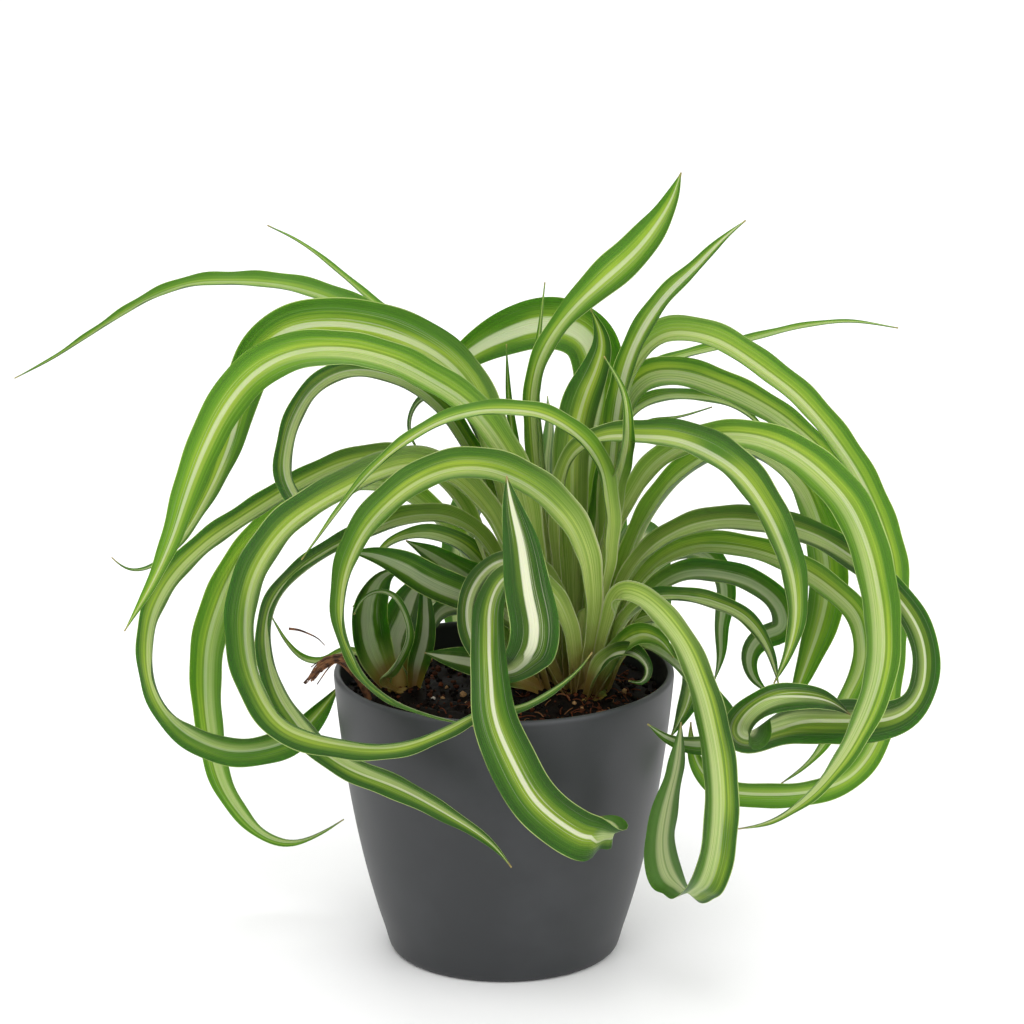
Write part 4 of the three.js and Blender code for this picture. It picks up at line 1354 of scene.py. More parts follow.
    def write_uv(self, piece: Piece, share: np.ndarray, side: np.ndarray) -> None:
        """Lays the map across and along the whole leaf, so that its sheath and blade agree.

        Args:
            piece: The flat grid's piece.
            share: Each vertex's share of the leaf's length.
            side: Each vertex's place across.
        """
        layer = piece.data.uv_layers[0]
        layer.name = "blade"
        corners = np.empty(len(piece.data.loops), dtype=np.int32)
        piece.data.loops.foreach_get("vertex_index", corners)
        inward = -self.leaf.arch.value * side[corners]
        places = np.stack((inward / 2 + 0.5, share[corners]), axis=1)
        layer.data.foreach_set("uv", places.astype(np.float32).ravel())

    def thicken(self, piece: Piece, side: np.ndarray) -> None:
        """Gives the blade its thickness, with thin margins; the new vertices follow the old.

        Args:
            piece: The piece, still a single sheet.
            side: Each vertex's place across.
        """
        thick = piece.vertex_groups.new(name="thick")
        for index, value in enumerate(1 - np.abs(side) ** self.thinning_power):
            thick.add([index], float(value), "REPLACE")
        apply_modifier(
            piece,
            "SOLIDIFY",
            thickness=self.thickness * MM,
            offset=-1.0,
            vertex_group="thick",
            thickness_vertex_group=self.thin_margin,
            use_even_offset=False,
        )
        piece.vertex_groups.clear()

    def draw_keel(self, piece: Piece, share: np.ndarray, side: np.ndarray) -> None:
        """Pulls the midrib out below the leaf, less towards the tip.

        Args:
            piece: The thick piece.
            share: Each upper vertex's share of the leaf's length.
            side: Each upper vertex's place across.
        """
        points = get_points(piece)
        upper = np.flatnonzero(np.abs(side) < 0.5 / self.faces_across)
        lower = upper + len(side)
        pull = self.keel * np.clip(self.keel_end - share[upper], 0, 1)[:, None] * MM
        points[lower] += unit(points[lower] - points[upper]) * pull
        set_points(piece, points)

    def lit_half(self, share: np.ndarray) -> np.ndarray:
        """Gives how far painted light pales the inner half, most where its side faces the eye.

        Args:
            share: Shares of the leaf's length.

        Returns:
            How pale it is at each, from 0 to 1.
        """
        face = keyed(self.leaf.face, np.clip(share, 0, 1))
        turned = np.clip((face - self.lit_half_from) / (self.lit_half_to - self.lit_half_from), 0, 1)
        return np.clip(self.leaf.lit_half * turned, 0, 1)

    @property
    def sheath_share(self) -> float:
        """The share of the leaf's length that its sheath takes."""
        return self.leaf.sheath / self.route.length

    def free_blade(self, name: str) -> Piece:
        """Makes the blade beyond the sheath, starting just inside it so that no seam shows."""
        return self.strip(name, self.sheath_share - self.lap / self.route.length, 1.0)

    def base(self, name: str) -> Piece:
        """Makes the sheath, the clasping base of the leaf, sunk into the rootstock.

        Args:
            name: The name of the piece.

        Returns:
            The piece.
        """
        above = (self.route.line[0][2] - SOIL_LEVEL) / self.route.slopes[0][2]
        sunk = max(0.0, above) + self.rooting_depth
        return self.strip(name, -sunk / self.route.length, self.sheath_share)


# ---------- the leaves

LEFT_LEAVES = (
    Leaf(
        "leaf_left_long", Arch.LEFT, Look.PLAIN, width=19, taper_from=0.3,
        route=((17, 108, 9), (8, 165, 24), (-4, 210, 30), (-14, 233, 33), (-27, 247, 35),
            (-44, 258, 39), (-60, 266, 43), (-77, 273, 47), (-94, 277, 50), (-115, 278, 54),
            (-131, 277, 58), (-148, 271, 62), (-169, 258, 67), (-190, 244, 72), (-205, 236, 76)),
        face=((0, 80), (0.4, 55), (1, 70)), lit_half=0.35,
    ),
    Leaf(
        "leaf_left_spike", Arch.LEFT, Look.PLAIN, width=11, taper_from=0.3,
        route=((20, 108, 12), (9, 165, 38), (-5, 215, 54), (-27, 248, 63), (-44, 261, 69),
            (-56, 270, 74), (-69, 281, 81), (-85, 293, 88), (-99, 300, 93)),
        face=((0, 75), (1, 55)), lit_half=0.4,
    ),
    Leaf(
        "leaf_left_back_broad", Arch.LEFT, Look.FRESH, width=24, taper_from=0.4,
        route=((16, 108, 4), (8, 165, 6), (-4, 213, 9), (-14, 235, 14), (-27, 247, 17),
            (-44, 255, 18), (-60, 259, 18), (-77, 260, 17), (-91, 257, 15), (-102, 248, 12),
            (-108, 235, 10), (-112, 222, 7), (-116, 207, 4), (-123, 190, 0), (-130, 177, -4),
            (-139, 164, -8), (-148, 157, -12), (-157, 155, -15), (-164, 161, -17)),
        face=((0, 70), (0.35, 48), (0.52, 20), (0.7, 8), (0.88, 50), (1, 80)), lit_half=0.75,
    ),
    Leaf(
        "leaf_left_front", Arch.LEFT, Look.FRESH, width=20, taper_from=0.6,
        route=((18, 108, 0), (14, 160, -6), (7, 195, -9), (-3, 213, -12), (-14, 226, -11),
            (-31, 237, -13), (-48, 245, -16), (-69, 249, -20), (-90, 247, -25), (-106, 238, -30),
            (-118, 223, -34), (-126, 207, -38), (-133, 189, -42), (-139, 170, -46),
            (-148, 149, -50), (-159, 130, -54)),
        face=((0, 60), (0.3, 48), (0.5, 45), (0.7, 22), (1, 30)), lit_half=0.9,
    ),
    Leaf(
        "leaf_left_inner_loop", Arch.LEFT, Look.STRIPED, width=16, taper_from=0.95,
        route=((14, 108, 6), (2, 165, 15), (-11, 203, 13), (-29, 228, 9), (-50, 239, 4),
            (-67, 240, 0), (-81, 232, -4), (-88, 221, -7), (-92, 208, -10), (-93, 195, -12),
            (-89, 186, -14), (-82, 178, -16)),
        face=((0, 78), (0.3, 62), (0.7, 60), (1, 62)),
    ),
    Leaf(
        "leaf_left_low_loop", Arch.LEFT, Look.RICH, width=16, taper_from=0.9,
        route=((14, 107, 7), (-2, 150, 11), (-13, 178, 14), (-26, 196, 17), (-44, 205, 20),
            (-64, 203, 23), (-85, 194, 26), (-106, 181, 28), (-125, 168, 30), (-140, 153, 30),
            (-149, 136, 28), (-151, 118, 26), (-148, 103, 25), (-140, 91, 24), (-129, 84, 24),
            (-115, 79, 24), (-100, 80, 25), (-87, 85, 27), (-77, 96, 31), (-69, 107, 36)),
        face=((0, 75), (0.4, 55), (0.6, 50), (0.74, 70), (0.84, 38), (1, 28)), lit_half=0.8,
    ),
    Leaf(
        "leaf_left_hanging", Arch.LEFT, Look.FRESH, width=20,
        route=((15, 107, 9), (-6, 148, 35), (-25, 178, 43), (-47, 193, 46), (-69, 193, 48),
            (-90, 183, 50), (-105, 167, 51), (-117, 147, 52), (-124, 126, 52), (-125, 105, 52),
            (-123, 87, 51), (-119, 68, 50), (-110, 53, 47), (-99, 43, 44), (-87, 41, 41),
            (-75, 46, 38), (-67, 51, 36)),
        face=((0, 75), (0.4, 55), (0.6, 30), (0.8, 35), (1, 70)), lit_half=1.6,
    ),
    Leaf(
        "leaf_left_outer_loop", Arch.LEFT, Look.RICH, width=22,
        route=((19, 107, -4), (8, 150, -19), (-5, 182, -24), (-22, 198, -27), (-39, 203, -30),
            (-56, 198, -33), (-73, 189, -38), (-90, 178, -45), (-101, 165, -53), (-108, 151, -60),
            (-111, 135, -67), (-110, 118, -73), (-104, 101, -79), (-94, 88, -85), (-81, 83, -89),
            (-66, 80, -92), (-48, 79, -95), (-33, 83, -96), (-20, 89, -96), (-10, 95, -95),
            (7, 97, -92), (21, 105, -87), (32, 114, -80), (37, 121, -76)),
        face=((0, 80), (0.3, 58), (0.5, 50), (0.68, 60), (0.8, 66), (1, 60)), lit_half=0.55,
    ),
    Leaf(
        "leaf_front_inner_loop", Arch.LEFT, Look.RICH, width=22, taper_from=0.4,
        route=((32, 107, -6), (38, 140, -16), (37, 157, -23), (33, 170, -28), (25, 182, -34),
            (15, 191, -38), (2, 198, -43), (-13, 201, -48), (-30, 198, -53), (-45, 189, -58),
            (-58, 176, -63), (-66, 162, -67), (-70, 147, -70), (-70, 134, -72), (-66, 121, -74),
            (-59, 109, -76), (-47, 100, -78), (-34, 95, -78), (-22, 92, -78), (-13, 90, -78)),
        face=((0, 70), (0.3, 50), (0.6, 50), (0.8, 75), (1, 90)), lit_half=0.5,
    ),
    Leaf(
        "leaf_left_crossing", Arch.LEFT, Look.STRIPED, width=16, taper_from=0.7,
        route=((16, 107, -3), (6, 144, -9), (-3, 163, -12), (-13, 175, -15), (-26, 180, -18),
            (-42, 179, -21), (-58, 173, -25), (-73, 166, -29), (-86, 157, -34), (-96, 147, -38),
            (-101, 134, -42), (-101, 121, -46), (-97, 106, -52), (-88, 92, -59), (-77, 80, -65),
            (-64, 72, -71), (-44, 64, -77), (-27, 55, -81), (-12, 46, -84), (-3, 39, -85),
            (3, 31, -85)),
        face=((0, 75), (0.3, 58), (0.5, 75), (0.72, 50), (0.85, 35), (1, 35)),
    ),
    Leaf(
        "leaf_over_top", Arch.LEFT, Look.FRESH, width=14, taper_from=0.4,
        route=((37, 107, 0), (41, 140, -6), (45, 162, -14), (46, 180, -18), (41, 203, -24),
            (30, 215, -28), (17, 222, -33), (3, 224, -37), (-14, 223, -42), (-31, 217, -46),
            (-46, 207, -50), (-57, 197, -53), (-67, 185, -56), (-77, 171, -59), (-85, 160, -61)),
        face=((0, 90), (0.3, 62), (0.6, 58), (1, 65)), lit_half=0.55,
    ),
    Leaf(
        "leaf_left_back_curl", Arch.LEFT, Look.DEEP_SHADED, width=14,
        route=((18, 109, 11), (3, 160, 26), (-4, 200, 32), (-14, 222, 35), (-26, 230, 38),
            (-35, 228, 39), (-40, 220, 38), (-39, 210, 36), (-34, 203, 33)),
        face=((0, 80), (0.6, 55), (1, 80)),
    ),
)

FRONT_LEAVES = (
    Leaf(
        "leaf_front_hanging", Arch.LEFT, Look.STRIPED, width=20.5, taper_from=0.9,
        route=((31, 108, -9), (28, 132, -25), (20, 147, -39), (9, 154, -51), (0, 153, -62),
            (-6, 143, -73), (-7, 127, -85), (-6, 110, -96), (-4, 93, -103), (3, 76, -106),
            (12, 60, -103), (24, 49, -97), (35, 43, -93), (43, 42.5, -90), (48, 44, -86),
            (48, 47, -81), (43, 50, -79), (38, 52, -79)),
        face=((0, 50), (0.35, 30), (0.6, 5), (0.88, 8), (0.94, 90), (0.98, 170), (1, 175)),
        fold=(35, 16), sheath=30, spread=((0, 0.5), (0.35, 0.55), (0.5, 0.72), (0.7, 1)),
    ),
    Leaf(
        "leaf_front_curled_up", Arch.LEFT, Look.BOLD, width=20, taper_from=0.72,
        route=((30, 107, -8), (28, 128, -12), (24, 146, -20), (17, 156, -29), (8, 160, -37),
            (-3, 160, -43), (-11, 153, -46), (-16, 141, -53), (-15, 129, -58), (-10, 119, -63),
            (-3, 113, -68), (4, 113, -78), (11, 120, -89), (13, 132, -95), (10, 147, -94),
            (7, 167, -89), (3, 183, -86), (1, 195, -84)),
        face=((0, 80), (0.28, 58), (0.45, 48), (0.58, 55), (0.66, 45), (0.72, 5), (1, 0)),
        fold=(35, 12), spread=((0, 0.4), (0.3, 0.6), (0.58, 0.6), (0.7, 1)), sheath=26,
        taper_power=2.6,
    ),
    Leaf(
        "leaf_front_dark_blade", Arch.LEFT, Look.DEEP_SHADED, width=19, taper_from=0.65,
        route=((24, 108, -7), (12, 130, -13), (-2, 141, -17), (-14, 145, -19), (-28, 150, -21),
            (-41, 157, -23), (-54, 162, -26), (-64, 163, -29)),
        face=((0, 70), (0.5, 40), (1, 30)), sheath=28,
    ),
    Leaf(
        "leaf_inner_blade_upper", Arch.LEFT, Look.DEEP_SHADED, width=18, taper_from=0.6,
        route=((15, 107, 2), (6, 135, 2), (-5, 148, 2), (-18, 155, 2), (-30, 162, 2), (-41, 168, 2)),
        face=((0, 60), (1, 35)), sheath=28,
    ),
    Leaf(
        "leaf_inner_blade_back", Arch.LEFT, Look.FRESH, width=18,
        route=((15, 107, 8), (4, 138, 21), (-6, 157, 24), (-18, 168, 24), (-32, 172, 26),
            (-46, 169, 27), (-56, 160, 27)),
        face=((0, 70), (1, 60)), sheath=32,
    ),
    Leaf(
        "leaf_soil_low", Arch.LEFT, Look.DEEP_SHADED, width=14,
        route=((14, 107, -9), (2, 113, -18), (-12, 117, -26), (-24, 119, -33), (-33, 121, -39)),
        face=((0, 40), (1, 25)), fold=(25, 12), sheath=14,
    ),
    Leaf(
        "leaf_shaded_arc", Arch.LEFT, Look.DEEP_SHADED, width=15, taper_from=0.7,
        route=((12, 107, -4), (0, 128, -6), (-9, 139, -6), (-19, 142, -4), (-28, 138, -2),
            (-31, 129, 0)),
        face=((0, 80), (0.5, 50), (1, 45)), sheath=22,
    ),
)

OFFSET_LEAVES = (
    Leaf(
        "leaf_offset_upright", Arch.LEFT, Look.DEEP_SHADED, width=10, taper_from=0.3,
        route=((-38, 104, 0), (-36, 116, -5), (-33, 128, -9), (-33, 143, -12), (-34, 157, -14)),
        face=((0, 10), (1, 0)), fold=(30, 20), sheath=12,
    ),
    Leaf(
        "leaf_offset_curl", Arch.LEFT, Look.DEEP_SHADED, width=7, taper_from=0.4,
        route=((-44, 105, -4), (-50, 109, -14), (-47, 112, -26), (-42, 119, -33), (-39, 128, -37),
            (-41, 138, -39), (-47, 146, -40), (-54, 147, -40), (-60, 143, -40), (-63, 137, -40)),
        face=((0, 60), (0.5, 65), (1, 60)), sheath=10,
    ),
    Leaf(
        "leaf_offset_folded", Arch.LEFT, Look.DEEP_SHADED, width=19, taper_from=0.55,
        route=((-46, 106, 5), (-53, 120, 0), (-56, 132, -4), (-55, 144, -8), (-50, 153, -12),
            (-43, 156, -15)),
        face=((0, 20), (1, 40)), fold=(40, 25), sheath=12,
    ),
    Leaf(
        "leaf_offset_broad", Arch.LEFT, Look.DEEP_SHADED, width=18,
        route=((-43, 106, 12), (-47, 124, 14), (-43, 136, 15), (-38, 147, 14), (-31, 154, 12)),
        face=((0, -20), (1, -30)), fold=(30, 20), sheath=12,
    ),
    Leaf(
        "leaf_offset_over_rim", Arch.LEFT, Look.FRESH, width=6, taper_from=0.4,
        route=((-49, 107, 8), (-58, 120, 10), (-68, 122, 14), (-76, 118, 15), (-84, 119, 15),
            (-91, 126, 15), (-97, 136, 15)),
        face=((0, 60), (1, 60)), sheath=10,
    ),
)

RIGHT_LEAVES = (
    Leaf(
        "leaf_right_front_loop", Arch.RIGHT, Look.RICH, width=19, taper_from=0.93,
        route=((37, 108, -7), (42, 133, -18), (48, 147, -29), (58, 145, -39), (67, 137, -50),
            (76, 125, -59), (83, 108, -69), (88, 89, -77), (91, 68, -85), (91, 50, -91),
            (89, 35, -93), (85, 23, -90), (78, 18, -80), (70, 22, -69), (66, 31, -65),
            (65, 43, -66), (68, 59, -68), (72, 74, -70), (74, 92, -71)),
        face=((0, 70), (0.3, 46), (0.55, 40), (0.66, 38), (0.72, 90), (0.78, 152), (1, 165)),
        fold=(35, 20), sheath=30, lit_half=1.8,
        spread=((0, 0.5), (0.25, 0.8), (0.5, 1), (0.75, 1), (0.84, 0.7), (0.93, 0.4), (1, 0.3)),
    ),
    Leaf(
        "leaf_right_spiral", Arch.RIGHT, Look.STRIPED, width=23, taper_from=0.74,
        route=((39, 108, -1), (47, 146, 0), (58, 164, -5), (73, 174, -11), (90, 178, -16),
            (107, 177, -20), (122, 174, -23), (136, 168, -26), (149, 159, -29), (160, 150, -31),
            (168, 141, -33), (175, 129, -34), (177, 116, -35), (175, 104, -36), (169, 96, -37),
            (159, 92, -38), (147, 92, -40), (135, 92, -42), (123, 92, -45), (112, 88, -50),
            (103, 84, -57), (98, 88, -65), (102, 96, -71), (112, 102, -74), (124, 103, -72),
            (136, 101, -63), (145, 95, -52)),
        face=((0, 80), (0.3, 55), (0.5, 28), (0.7, 32), (0.79, 62), (0.86, 50), (0.92, 28), (1, 20)),
        fold=(40, 18), spread=((0, 0.55), (0.3, 0.85), (0.45, 0.6), (0.58, 0.6), (0.68, 1)),
    ),
    Leaf(
        "leaf_right_spiral_inner", Arch.RIGHT, Look.FRESH, width=18,
        route=((41, 109, 3), (50, 143, 3), (62, 159, 3), (78, 167, 2), (95, 167, 1), (112, 163, 0),
            (128, 155, -1), (140, 146, -2), (149, 136, -2), (151, 124, -2), (150, 114, -1),
            (145, 104, 0), (139, 92, 1), (134, 82, 1), (127, 74, 0), (116, 66, -2)),
        face=((0, 75), (0.4, 55), (0.65, 48), (0.8, 40), (1, 60)), lit_half=0.9,
    ),
    Leaf(
        "leaf_right_front_arch", Arch.RIGHT, Look.FRESH, width=24, taper_from=0.6,
        route=((25, 109, -2), (23, 150, -1), (21, 184, -1), (27, 205, -5), (40, 213, -11),
            (56, 214, -19), (72, 213, -26), (86, 208, -34), (99, 199, -42), (109, 186, -48),
            (117, 170, -53), (122, 153, -56), (123, 138, -58), (121, 126, -58), (117, 116, -57),
            (113, 108, -56)),
        face=((0, 80), (0.4, 58), (0.7, 52), (1, 40)), spread=((0, 0.45), (0.35, 0.5), (0.6, 1)),
        lit_half=0.5,
    ),
    Leaf(
        "leaf_right_great_arch", Arch.RIGHT, Look.FRESH, width=22, taper_from=0.65,
        route=((36, 109, 3), (40, 150, 9), (44, 170, 9), (52, 187, 6), (62, 201, 0), (75, 209, -6),
            (90, 213, -13), (106, 212, -19), (121, 206, -26), (134, 196, -34), (146, 182, -41),
            (153, 165, -47), (157, 148, -51), (159, 130, -54), (158, 113, -57), (153, 97, -60),
            (145, 81, -63), (135, 67, -66), (123, 56, -69), (110, 49, -71), (98, 47, -72)),
        face=((0, 75), (0.35, 45), (0.55, 36), (0.75, 45), (1, 70)),
        spread=((0, 0.5), (0.3, 0.7), (0.55, 1)),
    ),
    Leaf(
        "leaf_right_inner_arch", Arch.RIGHT, Look.FRESH, width=20, taper_from=0.75,
        route=((39, 110, 7), (46, 146, 19), (52, 166, 24), (61, 184, 26), (73, 198, 26),
            (86, 206, 25), (99, 209, 23), (113, 204, 21), (124, 194, 19), (131, 180, 18),
            (135, 164, 17), (136, 148, 16), (133, 133, 15), (128, 119, 13), (123, 106, 11),
            (119, 96, 9)),
        face=((0, 75), (0.5, 65), (0.75, 30), (1, 25)),
    ),
    Leaf(
        "leaf_right_outer_arch", Arch.RIGHT, Look.FRESH, width=20, taper_from=0.9,
        route=((36, 111, 9), (40, 165, 31), (44, 210, 30), (49, 236, 26), (57, 250, 22),
            (67, 257, 19), (79, 257, 17), (92, 253, 15), (107, 243, 13), (124, 230, 11),
            (139, 213, 9), (151, 195, 8), (159, 177, 7), (164, 160, 7), (165, 142, 7),
            (164, 122, 7), (162, 101, 6), (156, 82, 4), (145, 68, 1), (128, 62, -3), (108, 61, -7),
            (91, 63, -10), (82, 71, -11), (78, 82, -10), (78, 92, -8)),
        face=((0, 80), (0.35, 55), (0.6, 56), (0.72, 62), (0.82, 32), (1, 25)),
        spread=((0, 0.55), (0.35, 1), (0.66, 1), (0.82, 0.62)), lit_half=0.7,
    ),
    Leaf(
        "leaf_right_back_arch", Arch.RIGHT, Look.FRESH, width=20, taper_from=0.55,
        route=((34, 112, 13), (41, 165, 41), (45, 205, 41), (50, 228, 38), (60, 238, 38),
            (74, 239, 38), (90, 234, 38), (107, 226, 38), (123, 215, 38), (137, 201, 39),
            (147, 184, 40), (152, 167, 41), (153, 153, 41), (150, 142, 41)),
        face=((0, 75), (0.5, 48), (1, 55)),
    ),
    Leaf(
        "leaf_right_back_short", Arch.RIGHT, Look.PLAIN, width=12,
        route=((32, 112, 15), (35, 160, 50), (42, 202, 55), (52, 222, 56), (65, 229, 56),
            (80, 229, 58), (94, 226, 60), (105, 219, 61), (113, 209, 62)),
        face=((0, 75), (1, 50)),
    ),
    Leaf(
        "leaf_right_thin", Arch.RIGHT, Look.PLAIN, width=11, taper_from=0.3,
        route=((31, 113, 17), (42, 160, 66), (49, 212, 85), (56, 237, 91), (67, 244, 93),
            (82, 248, 96), (99, 252, 98), (124, 258, 101), (145, 260, 104), (165, 257, 106)),
        face=((0, 75), (1, 55)),
    ),
    Leaf(
        "leaf_right_sliver", Arch.RIGHT, Look.PLAIN, width=6, taper_from=0.4,
        route=((37, 111, 12), (46, 160, 47), (50, 203, 46), (58, 217, 46), (74, 220, 46),
            (87, 224, 47)),
        face=((0, 75), (1, 60)),
    ),
    Leaf(
        "leaf_right_low_arch", Arch.RIGHT, Look.STRIPED, width=13, taper_from=0.6,
        route=((40, 107, -3), (49, 135, -7), (61, 145, -9), (75, 146, -12), (88, 143, -15),
            (99, 138, -17), (107, 130, -19), (112, 120, -20), (115, 108, -20)),
        face=((0, 75), (1, 50)), sheath=30,
    ),
    Leaf(
        "leaf_right_small", Arch.RIGHT, Look.FRESH, width=13, taper_from=0.6,
        route=((37, 104, -11), (45, 120, -22), (52, 127, -30), (59, 129, -36), (66, 126, -40),
            (71, 119, -43)),
        face=((0, 60), (1, 30)), sheath=18,
    ),
    Leaf(
        "leaf_right_soil_curl", Arch.RIGHT, Look.BOLD, width=13,
        route=((34, 103, -13), (38, 115, -22), (46, 122, -30), (55, 122, -36), (61, 115, -39),
            (58, 108, -39), (52, 109, -38)),
        face=((0, 70), (0.5, 60), (1, 70)), sheath=10, lit_half=0.8,
    ),
    Leaf(
        "leaf_right_hidden_tail", Arch.RIGHT, Look.DEEP_SHADED, width=12, taper_from=0.7,
        route=((43, 107, -5), (49, 121, -11), (58, 126, -19), (68, 122, -28), (78, 113, -38),
            (88, 102, -46), (94, 92, -51), (91, 84, -54), (82, 82, -57), (70, 84, -59),
            (60, 91, -60)),
        face=((0, 70), (0.6, 45), (0.8, 40), (1, 35)), sheath=16,
    ),
    Leaf(
        "leaf_right_back_hanging", Arch.RIGHT, Look.DEEP_SHADED, width=14, taper_from=0.55,
        route=((39, 109, 10), (50, 142, 32), (62, 159, 39), (75, 165, 43), (86, 162, 45),
            (92, 153, 46), (93, 143, 47), (91, 131, 47), (91, 120, 46), (88, 109, 45)),
        face=((0, 75), (0.6, 45), (1, 30)), sheath=34,
    ),
    Leaf(
        "leaf_right_back_curl", Arch.RIGHT, Look.DEEP_SHADED, width=15, taper_from=0.7,
        route=((41, 109, 7), (57, 144, 17), (73, 155, 22), (92, 155, 27), (108, 149, 30),
            (117, 139, 31), (117, 130, 31), (109, 128, 30), (103, 121, 29), (104, 111, 28),
            (111, 104, 27)),
        face=((0, 75), (0.5, 45), (1, 30)), sheath=34,
    ),
    Leaf(
        "leaf_right_over_rim", Arch.RIGHT, Look.STRIPED, width=12, taper_from=0.75,
        route=((42, 108, 8), (52, 133, 14), (64, 137, 19), (74, 129, 23), (79, 116, 25),
            (78, 103, 25), (74, 93, 24), (70, 86, 22)),
        face=((0, 70), (0.5, 40), (1, 30)), sheath=24,
    ),
)

UPRIGHT_LEAVES = (
    Leaf(
        "leaf_top_tall", Arch.RIGHT, Look.FRESH, width=18, taper_from=0.8,
        route=((24, 109, 5), (18, 155, 16), (12, 203, 22), (11, 227, 22), (14, 243, 21),
            (21, 256, 21), (31, 268, 22), (43, 279, 23), (55, 290, 25), (64, 301, 27),
            (70, 311, 28), (74, 322, 30)),
        face=((0, 60), (0.4, 55), (0.62, 42), (0.76, 26), (1, 30)), lit_half=0.9,
        spread=((0, 0.55), (0.5, 0.6), (0.66, 0.65), (0.8, 1)),
    ),
    Leaf(
        "leaf_top_right", Arch.RIGHT, Look.PALE, width=12, taper_from=0.68,
        route=((37, 111, 7), (41, 165, 21), (44, 205, 18), (47, 228, 12), (52, 246, 6),
            (59, 260, 4), (68, 272, 3), (80, 283, 3), (91, 294, 3), (101, 302, 3)),
        face=((0, 70), (0.6, 42), (1, 40)),
    ),
    Leaf(
        "leaf_top_folded", Arch.RIGHT, Look.RICH, width=18, taper_from=0.72,
        route=((29, 111, 8), (28, 160, 24), (28, 205, 24), (32, 226, 27), (38, 240, 30),
            (41, 250, 34), (39, 259, 37), (36, 265, 38)),
        face=((0, 50), (0.6, 20), (1, 10)), taper_power=1.4,
    ),
    Leaf(
        "leaf_top_back_arch", Arch.LEFT, Look.PALE, width=24, taper_from=0.7,
        route=((28, 112, 14), (29, 162, 61), (37, 212, 74), (40, 237, 79), (36, 252, 81),
            (27, 258, 82), (14, 259, 83), (1, 255, 85), (-11, 249, 86), (-22, 240, 87),
            (-30, 229, 88)),
        face=((0, 60), (0.45, 25), (0.6, 12), (1, 12)), fold=(38, 20),
    ),
    Leaf(
        "leaf_young_left", Arch.RIGHT, Look.FRESH, width=8, taper_from=0.2,
        route=((25, 112, 9), (20, 160, 22), (14, 213, 33), (13, 240, 36), (15, 258, 38),
            (17, 276, 40)),
        face=((0, 60), (0.5, 50), (1, 20)),
    ),
    Leaf(
        "leaf_young_centre", Arch.LEFT, Look.PLAIN, width=8, taper_from=0.2,
        route=((21, 111, 10), (14, 162, 27), (5, 205, 33), (2, 228, 34), (1, 250, 34)),
        face=((0, 20), (1, 10)),
    ),
    Leaf(
        "leaf_young_right", Arch.LEFT, Look.FRESH, width=11, taper_from=0.45,
        route=((37, 109, 1), (41, 150, 0), (46, 178, -4), (48, 191, -8), (51, 203, -22),
            (52, 219, -40), (50, 231, -42), (42, 245, -45)),
        face=((0, 60), (1, 40)),
    ),
)

BACK_LEAVES = (
    Leaf(
        "leaf_back_long", Arch.RIGHT, Look.FRESH, width=19, taper_from=0.45,
        route=((30, 112, 15), (29, 150, 62), (31, 180, 94), (38, 192, 116), (42, 188, 136),
            (45, 172, 150), (45, 148, 158), (41, 120, 158), (35, 94, 150), (30, 74, 140)),
        face=((0, 170), (0.5, 150), (1, 180)),
    ),
    Leaf(
        "leaf_back_left", Arch.LEFT, Look.STRIPED, width=18,
        route=((20, 111, 15), (13, 148, 46), (3, 178, 66), (-7, 189, 86), (-15, 183, 104),
            (-20, 164, 118), (-20, 134, 124), (-14, 108, 122), (-3, 94, 118)),
        face=((0, 120), (0.5, 150), (1, 170)),
    ),
    Leaf(
        "leaf_back_right", Arch.RIGHT, Look.FRESH, width=18,
        route=((37, 110, 11), (45, 146, 46), (53, 166, 66), (59, 170, 84), (63, 158, 99),
            (63, 134, 108), (58, 108, 110), (50, 88, 106), (44, 76, 98)),
        face=((0, 120), (0.5, 150), (1, 170)),
    ),
    Leaf(
        "leaf_back_low_left", Arch.LEFT, Look.FRESH, width=16,
        route=((18, 109, 13), (2, 134, 38), (-14, 147, 56), (-31, 145, 71), (-45, 130, 82),
            (-52, 108, 88), (-52, 84, 88), (-44, 66, 84), (-34, 60, 80)),
        face=((0, 100), (0.5, 130), (1, 150)), sheath=30,
    ),
    Leaf(
        "leaf_back_loop", Arch.RIGHT, Look.STRIPED, width=16, taper_from=0.55,
        route=((32, 110, 14), (31, 134, 48), (26, 149, 72), (19, 148, 93), (13, 130, 106),
            (9, 106, 109), (9, 82, 103), (14, 66, 92), (22, 62, 80)),
        face=((0, 170), (1, 190)), sheath=30,
    ),
    Leaf(
        "leaf_back_young", Arch.RIGHT, Look.PLAIN, width=10, taper_from=0.4,
        route=((26, 112, 16), (22, 156, 38), (17, 194, 62), (19, 217, 84), (18, 228, 106)),
        face=((0, 150), (1, 150)), sheath=36,
    ),
)


# ---------- sub-assemblies


@dataclass
class LeafGroup:
    """A group of leaves that grow from one crown."""

    leaves: tuple[Leaf, ...]
    blades: list[Blade] = field(default_factory=list)

    def draw(self, chance: random.Random) -> None:
        """Draws each leaf's route and gives it a shade of its own."""
        self.blades = [Blade(leaf, chance.random()) for leaf in self.leaves]

    def build(self, materials: dict[Look, Material]) -> None:
        """Builds the free blade of each leaf in the place of its solid.

        Args:
            materials: The leaves' finishes.
        """
        for blade in self.blades:
            leaf = blade.leaf
            piece = blade.free_blade(f"{leaf.name}_skin")
            hand_over(piece, materials[leaf.look], leaf.name)


